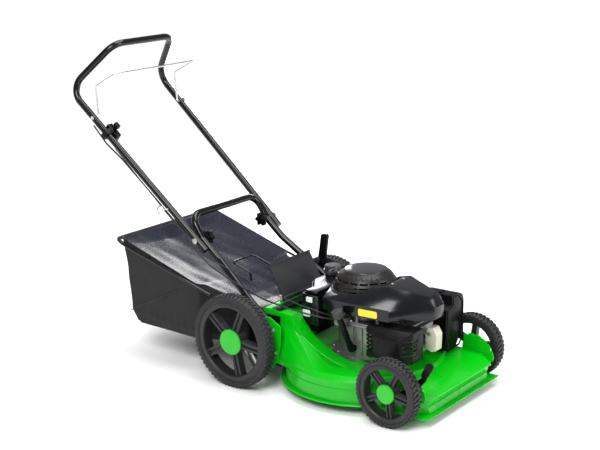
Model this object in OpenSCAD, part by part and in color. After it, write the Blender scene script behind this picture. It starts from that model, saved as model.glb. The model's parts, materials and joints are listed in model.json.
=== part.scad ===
// Walk-behind petrol rotary lawn mower with a rear grass bag. Millimetres, +X forward, +Z up.
// The origin is on the ground, under the middle of the rear axle.

/* [Wheels] */
// Distance from the rear axle to the front axle
wheelbase = 547; // [540:1:680]
// Diameter of the rear wheels
rear_wheel_d = 290; // [250:1:350]
// Diameter of the front wheels
front_wheel_d = 200; // [170:1:240]
// Width of the rear tyres
rear_tyre_w = 44; // [30:1:56]
// Width of the front tyres
front_tyre_w = 40; // [28:1:48]
// Distance between the outer faces of the rear wheels
rear_track = 542; // [500:1:660]
// Distance between the outer faces of the front wheels
front_track = 510; // [500:1:620]
// Number of spokes in a wheel
spoke_count = 5; // [3:1:8]
// Diameter of the axle rods
axle_d = 12.7; // [10:0.1:16]

/* [Deck] */
// Thickness of the pressed deck
deck_wall = 2.5; // [1.5:0.1:4]
// Outer radius of the round skirt
skirt_r = 246; // [235:1:248]
// Width of the turned-out rim round the skirt
rim_w = 16; // [4:1:20]
// Height of the rim above the ground
rim_z = 28; // [20:1:40]
// Height of the deck's flat top
deck_top = 108; // [100:1:112]
// Width of the deck's nose between the front wheels
nose_w = 380; // [300:1:382]
// How far the nose reaches ahead of the front axle
nose_reach = 108; // [90:1:130]
// Width of the rear grass tunnel
tunnel_w = 340; // [300:1:344]
// Height of the rear grass tunnel's roof
tunnel_top = 240; // [200:1:246]

/* [Handle] */
// Diameter of the handle tubes
tube_d = 22; // [19:0.5:26]
// Wall of the handle tubes
tube_wall = 1.5; // [1:0.1:2.5]
// Height of the handle's crossbar
handle_h = 994; // [900:1:1080]
// Width of the handle at its bends
handle_w = 412; // [380:1:480]
// Diameter of the bail wire
bail_d = 6; // [5:0.5:8]

/* [Engine] */
// Distance from the rear axle to the crankshaft
crank_x = 312; // [308:1:320]
// Diameter of the crankshaft
crank_d = 25; // [20:0.5:30]
// Length of the blade
blade_len = 460; // [380:1:470]
// Width of the blade
blade_w = 52; // [40:1:64]
// Radius of the recoil starter's cover
recoil_r = 100; // [85:1:108]
// Height of the recoil starter's top
recoil_top = 362; // [352:1:380]
// Half width of the engine shroud
shroud_half = 126; // [116:1:134]

/* [Grass bag] */
// Width of the grass bag
bag_w = 454; // [400:1:480]
// How far the bag reaches behind the rear axle
bag_reach = 492; // [420:1:560]
// Height of the bag's rear top edge
bag_top_z = 391; // [340:1:400]
// Thickness of the bag's cloth
cloth = 3; // [2:0.5:5]

/* [Clearances] */
// Radial gap of a shaft that turns in a hole
run_gap = 0.05; // [0.02:0.01:0.1]
// Gap between pieces that pass each other
pass_gap = 1; // [0.5:0.1:2]

/* [Hidden] */
$fn = 48;

// ---- places worked out from the sizes above ----
front_x = wheelbase;
rear_r = rear_wheel_d / 2;
front_r = front_wheel_d / 2;
axle_r = axle_d / 2;
rear_y = rear_track / 2 - rear_tyre_w / 2;
front_y = front_track / 2 - front_tyre_w / 2;
rear_crank = [52, -73];
front_crank = [22, -22];
rod_r = 3;
rear_pivot = [rear_crank.x, rear_r + rear_crank.y];
front_pivot = [front_x + front_crank.x, front_r + front_crank.y];
plate_t = 3;
arm_t = 5;
rear_plate_y = rear_y - rear_tyre_w / 2 - 21;
front_plate_y = nose_w / 2 + 2;
rear_arm_y = rear_plate_y + plate_t + 5;
front_arm_y = front_plate_y + plate_t + 4;
nose_x = front_x + nose_reach;
tunnel_rear_x = 42;
tunnel_front_x = 112;
tunnel_floor_z = 84;
hump_top = 146;
ramp_w = 46;
blade_z = 44;
blade_t = 4;

// ---- shared helpers ----
function unit(v) = v / norm(v);
function corner(p, u, v, rad, steps) =
    let (turn = acos(min(1, max(-1, u * v))), m = unit(u + v), w = unit(v - u),
         c = p + w * rad / cos(turn / 2))
    [for (i = [0:steps]) let (a = -turn / 2 + turn * i / steps) c - w * rad * cos(a) + m * rad * sin(a)];
// A path through the points of p with each inner corner rounded to the radius rad
function rounded(p, rad, steps = 4) = [
    p[0],
    for (i = [1:1:len(p) - 2])
        each corner(p[i], unit(p[i] - p[i - 1]), unit(p[i + 1] - p[i]), rad, steps),
    p[len(p) - 1]];
function headings(p) = [for (i = [0:len(p) - 1])
    unit(p[min(i + 1, len(p) - 1)] - p[max(i - 1, 0)])];
function across(t) = let (s = abs(t.z) < 0.9 ? [0, 0, 1] : [1, 0, 0]) unit(s - (s * t) * t);
function side_steps(t) = [for (i = 0, n = across(t[0]); i < len(t);
    i = i + 1, n = i < len(t) ? unit(n - (n * t[i]) * t[i]) : n) n];
// Points of a round bar of radius r swept along the path p
module sweep(p, r, sides = 12) {
    t = headings(p);
    n = side_steps(t);
    rings = len(p);
    points = [for (i = [0:rings - 1]) for (k = [0:sides - 1])
        p[i] + r * (cos(360 * k / sides) * n[i] + sin(360 * k / sides) * cross(t[i], n[i]))];
    faces = concat(
        [[for (k = [sides - 1:-1:0]) k]],
        [for (i = [0:rings - 2]) for (k = [0:sides - 1])
            [i * sides + k, i * sides + (k + 1) % sides,
             (i + 1) * sides + (k + 1) % sides, (i + 1) * sides + k]],
        [[for (k = [0:sides - 1]) (rings - 1) * sides + k]]);
    polyhedron(points = points, faces = [for (f = faces) [for (k = [len(f) - 1:-1:0]) f[k]]]);
}
function lengthened(p, by) = concat([p[0] - by * unit(p[1] - p[0])],
    [for (i = [1:1:len(p) - 2]) p[i]],
    [p[len(p) - 1] + by * unit(p[len(p) - 1] - p[len(p) - 2])]);
module pipe(p, r, wall) {
    difference() {
        sweep(p, r);
        sweep(lengthened(p, 1), r - wall);
    }
}
// A bar along Y, from y0 to y1
module bar_y(r, y0, y1) { translate([0, y0, 0]) rotate([-90, 0, 0]) cylinder(r = r, h = y1 - y0); }
// An outline drawn in X and Z, thickened along Y from y0 to y1
module plate_y(points, y0, y1) {
    translate([0, y1, 0]) rotate([90, 0, 0]) linear_extrude(height = y1 - y0) polygon(points);
}
module between(a, b, r, r2 = -1) {
    d = b - a;
    translate(a) rotate([0, acos(d.z / norm(d)), atan2(d.y, d.x)])
        cylinder(r1 = r, r2 = r2 < 0 ? r : r2, h = norm(d));
}
module both_sides() { children(); mirror([0, 1, 0]) children(); }
function arc(c, r, a0, a1, n) = [for (i = [0:n]) let (a = a0 + (a1 - a0) * i / n) c + r * [cos(a), sin(a)]];

// ---- deck ----
deck_chamfer = 14;
nose_side_top = 92;
// Corners of the folded panel that spreads from the tower down to the skirt
ramp_panel = [[118, -169, 200], [158, -169, 204], [200, -169, 160], [250, -169, 128], [300, -169, 106],
    [120, -198, 106], [150, -200, 106], [200, -214, 104], [250, -232, 104], [300, -238, 100]];
module deck_body(inset) {
    r = skirt_r - inset;
    low = rim_z - (inset > 0 ? 5 : 0);
    translate([crank_x, 0, 0]) {
        translate([0, 0, low]) cylinder(r = r, h = deck_top - deck_chamfer - low, $fn = 96);
        translate([0, 0, deck_top - deck_chamfer]) cylinder(r1 = r, r2 = r - deck_chamfer,
            h = deck_chamfer - inset, $fn = 96);
    }
    hull() for (p = ramp_panel) for (z = [p.z - inset * 1.5, tunnel_floor_z - (inset > 0 ? 1 : 0)])
        translate([p.x + (p.x < 140 ? inset : 0), p.y + inset * 1.6, z]) cube(0.05);
    half = nose_w / 2 - inset;
    intersection() {
        linear_extrude(height = 300) polygon([[crank_x - 5, -half], [nose_x - 56 - inset, -half],
            [nose_x + 4, -half + 44 + inset * 0.4], [nose_x + 4, half - 44 - inset * 0.4],
            [nose_x - 56 - inset, half], [crank_x - 5, half]]);
        plate_y([[crank_x, low], [nose_x - 17 - inset, low], [nose_x - 21 - inset, 50],
        [nose_x - 12 - inset, 75], [nose_x + 2 - inset, nose_side_top - 6 - inset],
        [nose_x - 2 - inset, nose_side_top - inset], [front_x, nose_side_top + 8 - inset],
        [crank_x + 90, deck_top - inset], [crank_x, deck_top - inset]], -half, half);
    }
    tunnel = tunnel_w / 2 - inset;
    plate_y([[tunnel_rear_x + inset, tunnel_floor_z + inset], [crank_x, tunnel_floor_z + inset],
        [crank_x, deck_top - 2 - inset], [crank_x - 110, deck_top - 2 - inset],
        [tunnel_front_x + 62, hump_top - inset], [tunnel_front_x + 14 - inset, hump_top - inset],
        [tunnel_front_x - inset, tunnel_top - 30 - inset], [tunnel_front_x - 16 - inset, tunnel_top - inset],
        [tunnel_rear_x + 18, tunnel_top - inset], [tunnel_rear_x + inset, tunnel_top - 16 - inset]],
        -tunnel, tunnel);
    ramp_side = -tunnel_w / 2 + inset;
    plate_y([[tunnel_front_x - 30, tunnel_floor_z + inset], [crank_x + 60, tunnel_floor_z + inset],
        [crank_x + 60, deck_top - inset], [crank_x + 30, deck_top + 3 - inset],
        [crank_x - 20, deck_top + 17 - inset], [crank_x - 70, deck_top + 39 - inset],
        [crank_x - 112, deck_top + 68 - inset], [crank_x - 140 - inset, deck_top + 102 - inset],
        [crank_x - 152 - inset, tunnel_top - 8 - inset],
        [tunnel_front_x - 30, tunnel_top - 2 - inset]], ramp_side, ramp_side + ramp_w - 2 * inset);
}
module deck_shell() {
    color("limegreen") difference() {
        union() {
            deck_body(0);
            translate([crank_x, 0, rim_z]) cylinder(r = skirt_r + rim_w, h = deck_wall, $fn = 96);
            plate_y([[front_x - 80, rim_z], [nose_x - 6, rim_z], [nose_x, rim_z + 4],
                [nose_x - 20, rim_z + deck_wall + 2], [front_x - 80, rim_z + deck_wall]],
                -nose_w / 2 - 14, nose_w / 2 + 14);
        }
        deck_body(deck_wall);
        translate([crank_x, 0, 60]) cylinder(r = crank_d / 2 + 8, h = 80);
        // mouth of the grass tunnel, towards the bag
        translate([tunnel_rear_x - 5, -tunnel_w / 2 + 22, tunnel_floor_z + 10])
            cube([12, tunnel_w - 44, tunnel_top - tunnel_floor_z - 32]);
        // rod and bolt holes
        translate([front_pivot.x, 0, front_pivot.y]) bar_y(axle_r + 1.5, -nose_w, nose_w);
        for (a = engine_bolt_angles) translate([crank_x, 0, 60])
            rotate(a) translate([engine_bolt_pcr, 0, 0]) cylinder(r = 4.5, h = 90);
    }
}
// A curved plate inside the front of the skirt that steers the clippings rearward
baffle_r = 238;
module deck_baffle() {
    color("darkgreen") translate([crank_x, 0, 58]) rotate(-52) rotate_extrude(angle = 104, $fn = 96)
        translate([baffle_r, 0]) square([2, 34]);
}
foot_bolt = [82, 203];
// The plates that carry the rear axle and the lower handle
handle_foot = [92, tunnel_w / 2 + tube_d / 2 + 2, 196];
module rear_brackets() {
    rear_hole_r = axle_r + run_gap;
    color("limegreen") both_sides() difference() {
        union() {
            plate_y([[24, rear_pivot.y + 16], [28, tunnel_top - 26], [108, tunnel_top - 12], [148, 206],
                [146, 148], [133, 92], [96, 52], [62, rear_pivot.y - 16], [34, rear_pivot.y - 12]],
                rear_plate_y, rear_plate_y + plate_t);
            // shelf that ties the plate to the tunnel wall
            translate([tunnel_front_x - 14, tunnel_w / 2, tunnel_floor_z + 16])
                cube([14, rear_plate_y - tunnel_w / 2, plate_t]);
        }
        translate([rear_pivot.x, 0, rear_pivot.y]) bar_y(rear_hole_r, rear_plate_y - 1, rear_plate_y + 5);
        translate([foot_bolt.x, 0, foot_bolt.y]) bar_y(4 + run_gap, rear_plate_y - 1, rear_plate_y + 5);
    }
}
// Notched plates that stand up beside the front wheels and hold the front axle
quadrant_r = 74;
notch_count = 5;
module front_brackets() {
    color("limegreen") both_sides() difference() {
        plate_y(concat([[front_pivot.x + 44, 60], [front_pivot.x + 70, 78]],
            arc(front_pivot, quadrant_r, 8, 112, 13), [[front_pivot.x - 42, 60]]),
            front_plate_y - 2, front_plate_y - 2 + plate_t);
        translate([front_pivot.x, 0, front_pivot.y])
            bar_y(axle_r + run_gap, front_plate_y - 3, front_plate_y + 5);
        for (k = [0:notch_count - 1]) let (a = 28 + 19 * k)
            translate([front_pivot.x + quadrant_r * cos(a), front_plate_y - 4,
                front_pivot.y + quadrant_r * sin(a)]) bar_y(4, 0, 8);
    }
}
// Charcoal flap over the tunnel mouth, hinged on a rod and resting on the bag
flap_hinge = [tunnel_rear_x + 30, tunnel_top + 9];
flap_rise = 61;
flap_len = 112;
flap_w = 204;
module rear_flap() {
    color("dimgray") translate([flap_hinge.x, 0, flap_hinge.y]) {
        rotate([0, flap_rise, 0]) {
            translate([-flap_len, -flap_w / 2, 3]) cube([flap_len - 5, flap_w, 3]);
            translate([-flap_len, -flap_w / 2, 3]) cube([4, flap_w, 8]);
        }
        difference() {
            bar_y(8, -flap_w / 2 + 2, flap_w / 2 - 2);
            bar_y(rod_r + run_gap, -flap_w, flap_w);
        }
    }
}
module flap_rod() {
    color("silver") translate([flap_hinge.x, 0, flap_hinge.y]) {
        bar_y(rod_r, -flap_w / 2 - 16, flap_w / 2 + 16);
        both_sides() translate([-5, flap_w / 2 + 2, tunnel_top - flap_hinge.y]) cube([10, 4, 14]);
    }
}

// ---- axles and height levers ----
module crank_axle(pivot, wheel, arm_y, rod_y, stub_y) {
    translate([pivot.x, 0, pivot.y]) bar_y(axle_r, -rod_y, rod_y);
    both_sides() {
        plate_y([[pivot.x - 8, pivot.y - 9], [pivot.x + 9, pivot.y - 9], [pivot.x + 9, pivot.y + 9],
            [wheel.x + 9, wheel.y + 9], [wheel.x - 9, wheel.y + 9], [wheel.x - 9, wheel.y - 9]],
            arm_y, arm_y + arm_t);
        translate([wheel.x, 0, wheel.y]) bar_y(axle_r, arm_y, stub_y);
    }
}
module rear_axle() {
    color("silver") difference() {
        crank_axle(rear_pivot, [0, rear_r], rear_arm_y, rear_arm_y, rear_track / 2 - 14);
        both_sides() translate([0, rear_track / 2 - 15, rear_r]) bar_y(2.5, -12, 3);
    }
}
module front_axle() {
    color("silver") difference() {
        crank_axle(front_pivot, [front_x, front_r], front_arm_y, front_arm_y, front_track / 2 - 14);
        both_sides() translate([front_x, front_track / 2 - 15, front_r]) bar_y(2.5, -12, 3);
    }
}
rear_lever_y = rear_plate_y - 8;
rear_lever_t = 4;
rear_lever_foot = [2, 296];
rear_lever_tip = [14, 378];
module rear_lever() {
    color("black") difference() {
        plate_y([[rear_pivot.x - 12, rear_pivot.y - 11], [rear_pivot.x + 13, rear_pivot.y - 11],
            [rear_pivot.x + 10, rear_pivot.y + 40], [2, 220], [rear_lever_foot.x + 9, rear_lever_foot.y],
            [rear_lever_tip.x + 5, rear_lever_tip.y - 12], [rear_lever_tip.x - 7, rear_lever_tip.y - 12],
            [rear_lever_foot.x - 9, rear_lever_foot.y], [-24, 224]],
            rear_lever_y, rear_lever_y + rear_lever_t);
        translate([rear_pivot.x, 0, rear_pivot.y]) bar_y(axle_r, rear_lever_y - 1, rear_lever_y + 9);
    }
}
module rear_lever_grip() {
    color("dimgray") difference() {
        plate_y([[rear_lever_foot.x - 14, rear_lever_foot.y], [rear_lever_foot.x + 14, rear_lever_foot.y],
            [rear_lever_tip.x + 13, rear_lever_tip.y - 4], [rear_lever_tip.x + 9, rear_lever_tip.y],
            [rear_lever_tip.x - 9, rear_lever_tip.y], [rear_lever_tip.x - 13, rear_lever_tip.y - 4]],
            rear_lever_y - 4, rear_lever_y + 8);
        rear_lever();
    }
}
front_lever_t = 4;
front_lever_y = -front_arm_y - arm_t;
front_grip = [front_pivot.x + 91, front_pivot.y + 96];
module front_lever() {
    color("black") difference() {
        plate_y([[front_pivot.x - 10, front_pivot.y - 12], [front_pivot.x + 14, front_pivot.y - 10],
            [front_grip.x - 8, front_grip.y - 26], [front_grip.x + 6, front_grip.y + 18],
            [front_grip.x - 4, front_grip.y + 24], [front_grip.x - 24, front_grip.y - 20],
            [front_pivot.x - 12, front_pivot.y + 10]], front_lever_y - front_lever_t, front_lever_y);
    }
}
module front_lever_grip() {
    color("black") difference() {
        plate_y(concat(arc(front_grip + [2, 16], 12, -30, 150, 8), arc(front_grip - [12, 10], 10, 150, 330, 8)),
            front_lever_y - 7, front_lever_y + 3);
        front_lever();
    }
}

// ---- wheels ----
bead_share = 0.86;
function lug_ring(r, h, n) = [for (i = [0:n - 1]) for (p = [[-0.34, -h], [-0.26, 0], [0.26, 0], [0.34, -h]])
    let (a = -90 + 360 / n * (i + p.x)) (r + p.y) / cos(94 / n) * [cos(a), sin(a)]];
module along_axle(x, y, z, out) { translate([x, y, z]) rotate([out * -90, 0, 0]) children(); }
module tyre(r, w, bead, lugs, lug_h) {
    difference() {
        union() {
            rotate_extrude($fn = 96) polygon([[bead, -w / 2 + 3], [bead + 5, -w / 2], [r - lug_h - 4, -w / 2],
                [r - lug_h, -w / 2 + 5], [r - lug_h, w / 2 - 5], [r - lug_h - 4, w / 2], [bead + 5, w / 2],
                [bead, w / 2 - 3]]);
            linear_extrude(height = 0.84 * w, center = true) polygon(lug_ring(r, lug_h, lugs));
        }
        cylinder(r = bead, h = w + 2, center = true, $fn = 96);
    }
}
// Rim along +Z, with its cap side up
module rim(bead, open_r, w, cap_r, hub_w, turn) {
    difference() {
        union() {
            rotate_extrude($fn = 96) polygon([[open_r, -w / 2 + 4], [bead, -w / 2 + 3], [bead, w / 2 - 3],
                [open_r + 3, w / 2 - 1], [open_r, w / 2 - 4]]);
            for (k = [0:spoke_count - 1]) rotate(turn + 360 / spoke_count * k) difference() {
                translate([cap_r - 4, -cap_r * 0.3, -w / 4])
                    cube([open_r - cap_r + 6, cap_r * 0.6, w / 4 + w / 2 - 9]);
                translate([cap_r - 5, -cap_r * 0.1, w / 2 - 15]) cube([open_r - cap_r + 4, cap_r * 0.2, 20]);
            }
            translate([0, 0, -hub_w / 2]) cylinder(r = cap_r, h = hub_w / 2 + w / 2 - 7);
        }
        translate([0, 0, w / 2 - 22]) cylinder(r = cap_r - 7, h = 40);
        cylinder(r = axle_r + run_gap, h = 200, center = true);
    }
}
module hub_cap(w, cap_r) {
    translate([0, 0, w / 2 - 7]) rotate_extrude() polygon([[0, 0], [cap_r, 0], [cap_r, 4], [cap_r - 2, 6],
        [cap_r * 0.6, 7], [0, 7]]);
}
rear_open_r = rear_r * 0.735;
front_open_r = front_r * 0.711;
rear_cap_r = 40;
front_cap_r = 28.5;
rear_lugs = 40;
front_lugs = 26;
module rear_tyre(s) { color("dimgray") along_axle(0, s * rear_y, rear_r, 1)
    tyre(rear_r, rear_tyre_w, rear_r * bead_share, rear_lugs, 4); }
module rear_rim(s) { color("dimgray") along_axle(0, s * rear_y, rear_r, s)
    rim(rear_r * bead_share, rear_open_r, rear_tyre_w, rear_cap_r, rear_tyre_w - 6, -77); }
module rear_cap(s) { color("limegreen") along_axle(0, s * rear_y, rear_r, s)
    hub_cap(rear_tyre_w, rear_cap_r); }
module front_tyre(s) { color("dimgray") along_axle(front_x, s * front_y, front_r, 1)
    tyre(front_r, front_tyre_w, front_r * bead_share, front_lugs, 5); }
module front_rim(s) { color("dimgray") along_axle(front_x, s * front_y, front_r, s)
    rim(front_r * bead_share, front_open_r, front_tyre_w, front_cap_r, front_tyre_w - 6, -82); }
module front_cap(s) { color("limegreen") along_axle(front_x, s * front_y, front_r, s)
    hub_cap(front_tyre_w, front_cap_r); }
module rear_right_tyre() { rear_tyre(-1); }
module rear_right_rim() { rear_rim(-1); }
module rear_right_cap() { rear_cap(-1); }
module rear_left_tyre() { rear_tyre(1); }
module rear_left_rim() { rear_rim(1); }
module rear_left_cap() { rear_cap(1); }
module front_right_tyre() { front_tyre(-1); }
module front_right_rim() { front_rim(-1); }
module front_right_cap() { front_cap(-1); }
module front_left_tyre() { front_tyre(1); }
module front_left_rim() { front_rim(1); }
module front_left_cap() { front_cap(1); }

// ---- handle ----
tube_r = tube_d / 2;
fold = [-194, 413];
fold_y = 170;
bend_point = [-703, handle_w / 2, handle_h - 146];
bar_point = [-565, 133, handle_h];
leg_end = [-161, fold_y + tube_r, 385];
hoop_y = fold_y - tube_r - 1;
hoop_top = [-240, hoop_y, 482];
// Half gap between the legs at a given place along them
function leg_y(x) = leg_end.y + (bend_point.y - leg_end.y) * (x - leg_end.x) / (bend_point.x - leg_end.x);
function leg_z(x) = leg_end.z + (bend_point.z - leg_end.z) * (x - leg_end.x) / (bend_point.x - leg_end.x);
function flip(p) = [p.x, -p.y, p.z];
leg_slope = atan((bend_point.z - leg_end.z) / (leg_end.x - bend_point.x));
bail_pivot = [-598, 0, round(leg_z(-598)) + 6];
module upper_handle() {
    path = rounded([leg_end, bend_point, bar_point, flip(bar_point), flip(bend_point), flip(leg_end)], 55);
    color("black") difference() {
        pipe(path, tube_r, tube_wall);
        translate([fold.x, 0, fold.y]) bar_y(4 + run_gap, -fold_y - 40, fold_y + 40);
        translate(bail_pivot) bar_y(bail_d / 2 + run_gap, -250, 250);
    }
}
module lower_handle() {
    path = rounded([handle_foot, [20, handle_foot.y, 249], [fold.x + 66, hoop_y, fold.y - 56], [fold.x, hoop_y, fold.y],
        hoop_top, flip(hoop_top), [fold.x, -hoop_y, fold.y], [fold.x + 66, -hoop_y, fold.y - 56],
        [20, -handle_foot.y, 249], flip(handle_foot)], 40);
    color("black") difference() {
        pipe(path, tube_r, tube_wall);
        translate([fold.x, 0, fold.y]) bar_y(4 + run_gap, -fold_y - 40, fold_y + 40);
        translate([foot_bolt.x, 0, foot_bolt.y]) bar_y(4 + run_gap, -fold_y - 40, fold_y + 40);
    }
}
knob_y = hoop_y - tube_r - 1.5;
module pivot_bolts() {
    color("silver") both_sides() {
        translate([fold.x, 0, fold.y]) {
            bar_y(4, knob_y - 20, leg_y(fold.x) + tube_r + 2);
            bar_y(9, leg_y(fold.x) + tube_r + 0.5, leg_y(fold.x) + tube_r + 4);
        }
        // bolts that hold the lower handle's feet, with their spacers
        translate([foot_bolt.x, 0, foot_bolt.y]) {
            bar_y(4, tunnel_w / 2 + 0.5, rear_plate_y + plate_t + 3);
            bar_y(8, handle_foot.y + tube_r, rear_plate_y);
            bar_y(8, rear_plate_y + plate_t, rear_plate_y + plate_t + 3.5);
        }
    }
}
module star_knob(s) {
    color("black") translate([fold.x, s * knob_y, fold.y]) rotate([s * 90, 0, 0]) difference() {
        union() {
            cylinder(r = 11, h = 22);
            translate([0, 0, 6]) linear_extrude(height = 15)
                polygon([for (i = [0:71]) let (a = i * 5) (19 + 3.5 * cos(6 * a)) * [cos(a), sin(a)]]);
        }
        translate([0, 0, -1]) cylinder(r = 4 + run_gap, h = 22);
    }
}
module right_knob() { star_knob(-1); }
module left_knob() { star_knob(1); }
bail_y = leg_y(bail_pivot.x) - tube_r - bail_d / 2 - 3;
bail_knee = [-604, bail_y, bail_pivot.z + 98];
bail_corner = [-513, bail_y, bail_pivot.z + 144];
module bail() {
    half = [[bail_pivot.x, leg_y(bail_pivot.x) + tube_r + 4, bail_pivot.z],
        [bail_pivot.x, bail_y, bail_pivot.z], bail_knee, bail_corner];
    color("silver") difference() {
        union() {
            sweep(rounded(concat([[bail_pivot.x, bail_y, bail_pivot.z], bail_knee, bail_corner,
                flip(bail_corner), flip(bail_knee), [bail_pivot.x, -bail_y, bail_pivot.z]]), 14, 4),
                bail_d / 2);
            both_sides() translate([bail_pivot.x, 0, bail_pivot.z])
                bar_y(bail_d / 2, bail_y - bail_d / 2, half[0].y);
        }
    }
}
// Looped wire on the right leg that keeps the starter rope's grip in reach
guide_x = -298;
module rope_guide() {
    c = [guide_x, -leg_y(guide_x) - tube_r, leg_z(guide_x)];
    color("silver") sweep(concat([c, c + [0, -4, 0]],
        [for (a = [0:30:300]) c + [-16 + 11 * cos(a), -14 - 0.03 * a, 11 * sin(a)]]), 2.2, 8);
}
box_x = -548;
module throttle_housing() {
    c = [box_x, -leg_y(box_x) + tube_r + 1, leg_z(box_x)];
    color("black") translate(c) rotate([0, leg_slope, 0]) difference() {
        union() {
            translate([-26, 0, -13]) cube([52, 20, 28]);
            translate([-10, -tube_d - 4, -tube_r - 3]) cube([20, tube_d + 5, tube_d + 6]);
        }
        translate([-30, -tube_r - 1, 0]) rotate([0, 90, 0]) cylinder(r = tube_r + 0.6, h = 60);
        translate([-20, 7, -12]) cube([40, 6, 40]);
        translate([0, 0, -2]) bar_y(2 + run_gap, 3, 18);
    }
}
module throttle_lever() {
    c = [box_x, -leg_y(box_x) + tube_r + 1, leg_z(box_x)];
    color("black") translate(c) rotate([0, leg_slope, 0]) translate([0, 0, -2]) {
        difference() {
            union() {
                translate([-5, 8, -4]) cube([10, 4, 44]);
                translate([-9, 4, 28]) cube([18, 12, 14]);
            }
        }
        bar_y(2, 4, 17);
    }
}
// Cables from the bail and the throttle, as far as the handle's fold
cable_r = 2.5;
function near_leg(x, out, below) = [x, -leg_y(x) - out, leg_z(x) - tube_r - below];
module handle_cables() {
    color("black") {
        sweep([for (x = [-520, -420, -320, -226]) near_leg(x, 13 + 16 * (x + 226) / 294, 11)], 1.6, 8);
        sweep(rounded([near_leg(-594, 12, 3), near_leg(-548, 6, 20), near_leg(-480, 11, 4),
            near_leg(-320, 11, 2), near_leg(-226, 12, 2)], 30, 3), cable_r, 8);
    }
}
// The same cables from the fold down to the engine
throttle_route = [[-214, -195.8, 398], [-150, -196, 372], [-60, -192, 344], [40, -188, 312],
    [120, -178, 288], [190, -162, 268], [244, -142, 252], [279, -117, 236]];
brake_route = [[-214, -201, 411], [-140, -202, 354], [-70, -200, 322], [0, -196, 296], [70, -189, 272],
    [140, -175, 256], [206, -156, 243], [252, -135, 233], [279, -112, 228]];
module engine_cables() {
    color("black") {
        sweep(rounded(throttle_route, 60, 2), 1.6, 8);
        sweep(rounded(brake_route, 60, 2), cable_r, 8);
    }
}

// ---- engine ----
engine_bolt_angles = [40, 140, 220, 320];
engine_bolt_pcr = 94;
flange_t = 9;
case_r = 84;
case_half = 100;
case_front = crank_x + 112;
case_top = 226;
wall = 5;
module crankcase() {
    base = deck_top + flange_t;
    color("silver") difference() {
        union() {
            translate([crank_x, 0, deck_top]) cylinder(r = 106, h = flange_t, $fn = 96);
            translate([crank_x, 0, deck_top]) cylinder(r = case_r, h = 148);
            translate([crank_x + 6, -case_half, base]) cube([106, 2 * case_half, case_top - base]);
            // rim where the case halves meet
            translate([crank_x - 4, -case_half - 5, case_top - 10]) cube([116, 2 * case_half + 10, 6]);
            // cable clamp
            translate([crank_x - 30, -case_half - 22, 214]) cube([44, 24, 26]);
            // posts under the shroud
            for (x = [crank_x + 32, case_front - 8]) for (s = [-1, 1])
                translate([x, s * (case_half - 6), case_top - 4]) cylinder(r = 5, h = belt_top - 3 - case_top + 4);
        }
        translate([crank_x, 0, deck_top + 12]) cylinder(r = case_r - wall, h = 124);
        translate([crank_x + 6 + wall, -case_half + wall, base + wall])
            cube([106 - 2 * wall, 2 * (case_half - wall), case_top - base - 2 * wall]);
        translate([crank_x, 0, 90]) cylinder(r = crank_d / 2 + run_gap, h = 200);
        translate([case_front - 20, 0, cylinder_z]) rotate([0, 90, 0]) cylinder(r = cylinder_bore, h = 30);
        for (a = engine_bolt_angles) translate([crank_x, 0, 90])
            rotate(a) translate([engine_bolt_pcr, 0, 0]) cylinder(r = 4 + run_gap, h = deck_top + flange_t - 90);
    }
}
module engine_bolts() {
    color("silver") for (a = engine_bolt_angles) translate([crank_x, 0, deck_top - deck_wall])
        rotate(a) translate([engine_bolt_pcr, 0, 0]) {
            cylinder(r = 4, h = deck_wall + flange_t - 1);
            translate([0, 0, -6]) cylinder(r = 7.5, h = 6, $fn = 6);
        }
}
cylinder_z = 186;
cylinder_bore = 33;
cylinder_len = 90;
fin_count = 8;
fin_half = 46;
module cylinder_barrel() {
    head_x = case_front + cylinder_len;
    color("silver") difference() {
        union() {
            translate([case_front, 0, cylinder_z]) rotate([0, 90, 0]) cylinder(r = cylinder_bore + 8, h = cylinder_len);
            for (k = [0:fin_count - 1])
                translate([case_front + 8 + k * (cylinder_len - 10) / fin_count, -fin_half, cylinder_z - fin_half])
                    cube([3.5, 2 * fin_half, 2 * fin_half]);
            translate([head_x - 6, -fin_half + 6, cylinder_z - fin_half + 6])
                cube([14, 2 * fin_half - 12, 2 * fin_half - 12]);
        }
        translate([case_front - 1, 0, cylinder_z]) rotate([0, 90, 0])
            cylinder(r = cylinder_bore, h = cylinder_len - 8);
        translate([head_x - 20, 0, cylinder_z]) rotate([0, 90, 0]) cylinder(r = 6, h = 40);
    }
}
module piston() {
    color("silver") translate([case_front + 34, 0, cylinder_z]) rotate([0, 90, 0]) difference() {
        cylinder(r = cylinder_bore - run_gap, h = 44);
        translate([0, 0, -1]) cylinder(r = cylinder_bore - 6, h = 32);
    }
}
adapter_z = blade_z + blade_t;
module crankshaft() {
    color("silver") translate([crank_x, 0, 0]) difference() {
        union() {
            translate([0, 0, adapter_z]) cylinder(r = crank_d / 2, h = 292 - adapter_z);
            translate([0, 0, adapter_z]) cylinder(r = 26, h = 10);
            for (z = [158, 200]) translate([0, 0, z]) cylinder(r = 46, h = 14);
        }
        translate([0, 0, adapter_z - 1]) cylinder(r = 6, h = 40);
    }
}
flywheel_z = 262;
module flywheel() {
    color("dimgray") translate([crank_x, 0, flywheel_z]) difference() {
        union() {
            cylinder(r = 86, h = 6);
            cylinder(r = 26, h = 30);
            for (k = [0:11]) rotate(30 * k) translate([52, -1.5, 0]) cube([32, 3, 20]);
        }
        translate([0, 0, -1]) cylinder(r = crank_d / 2, h = 40);
    }
}
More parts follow.
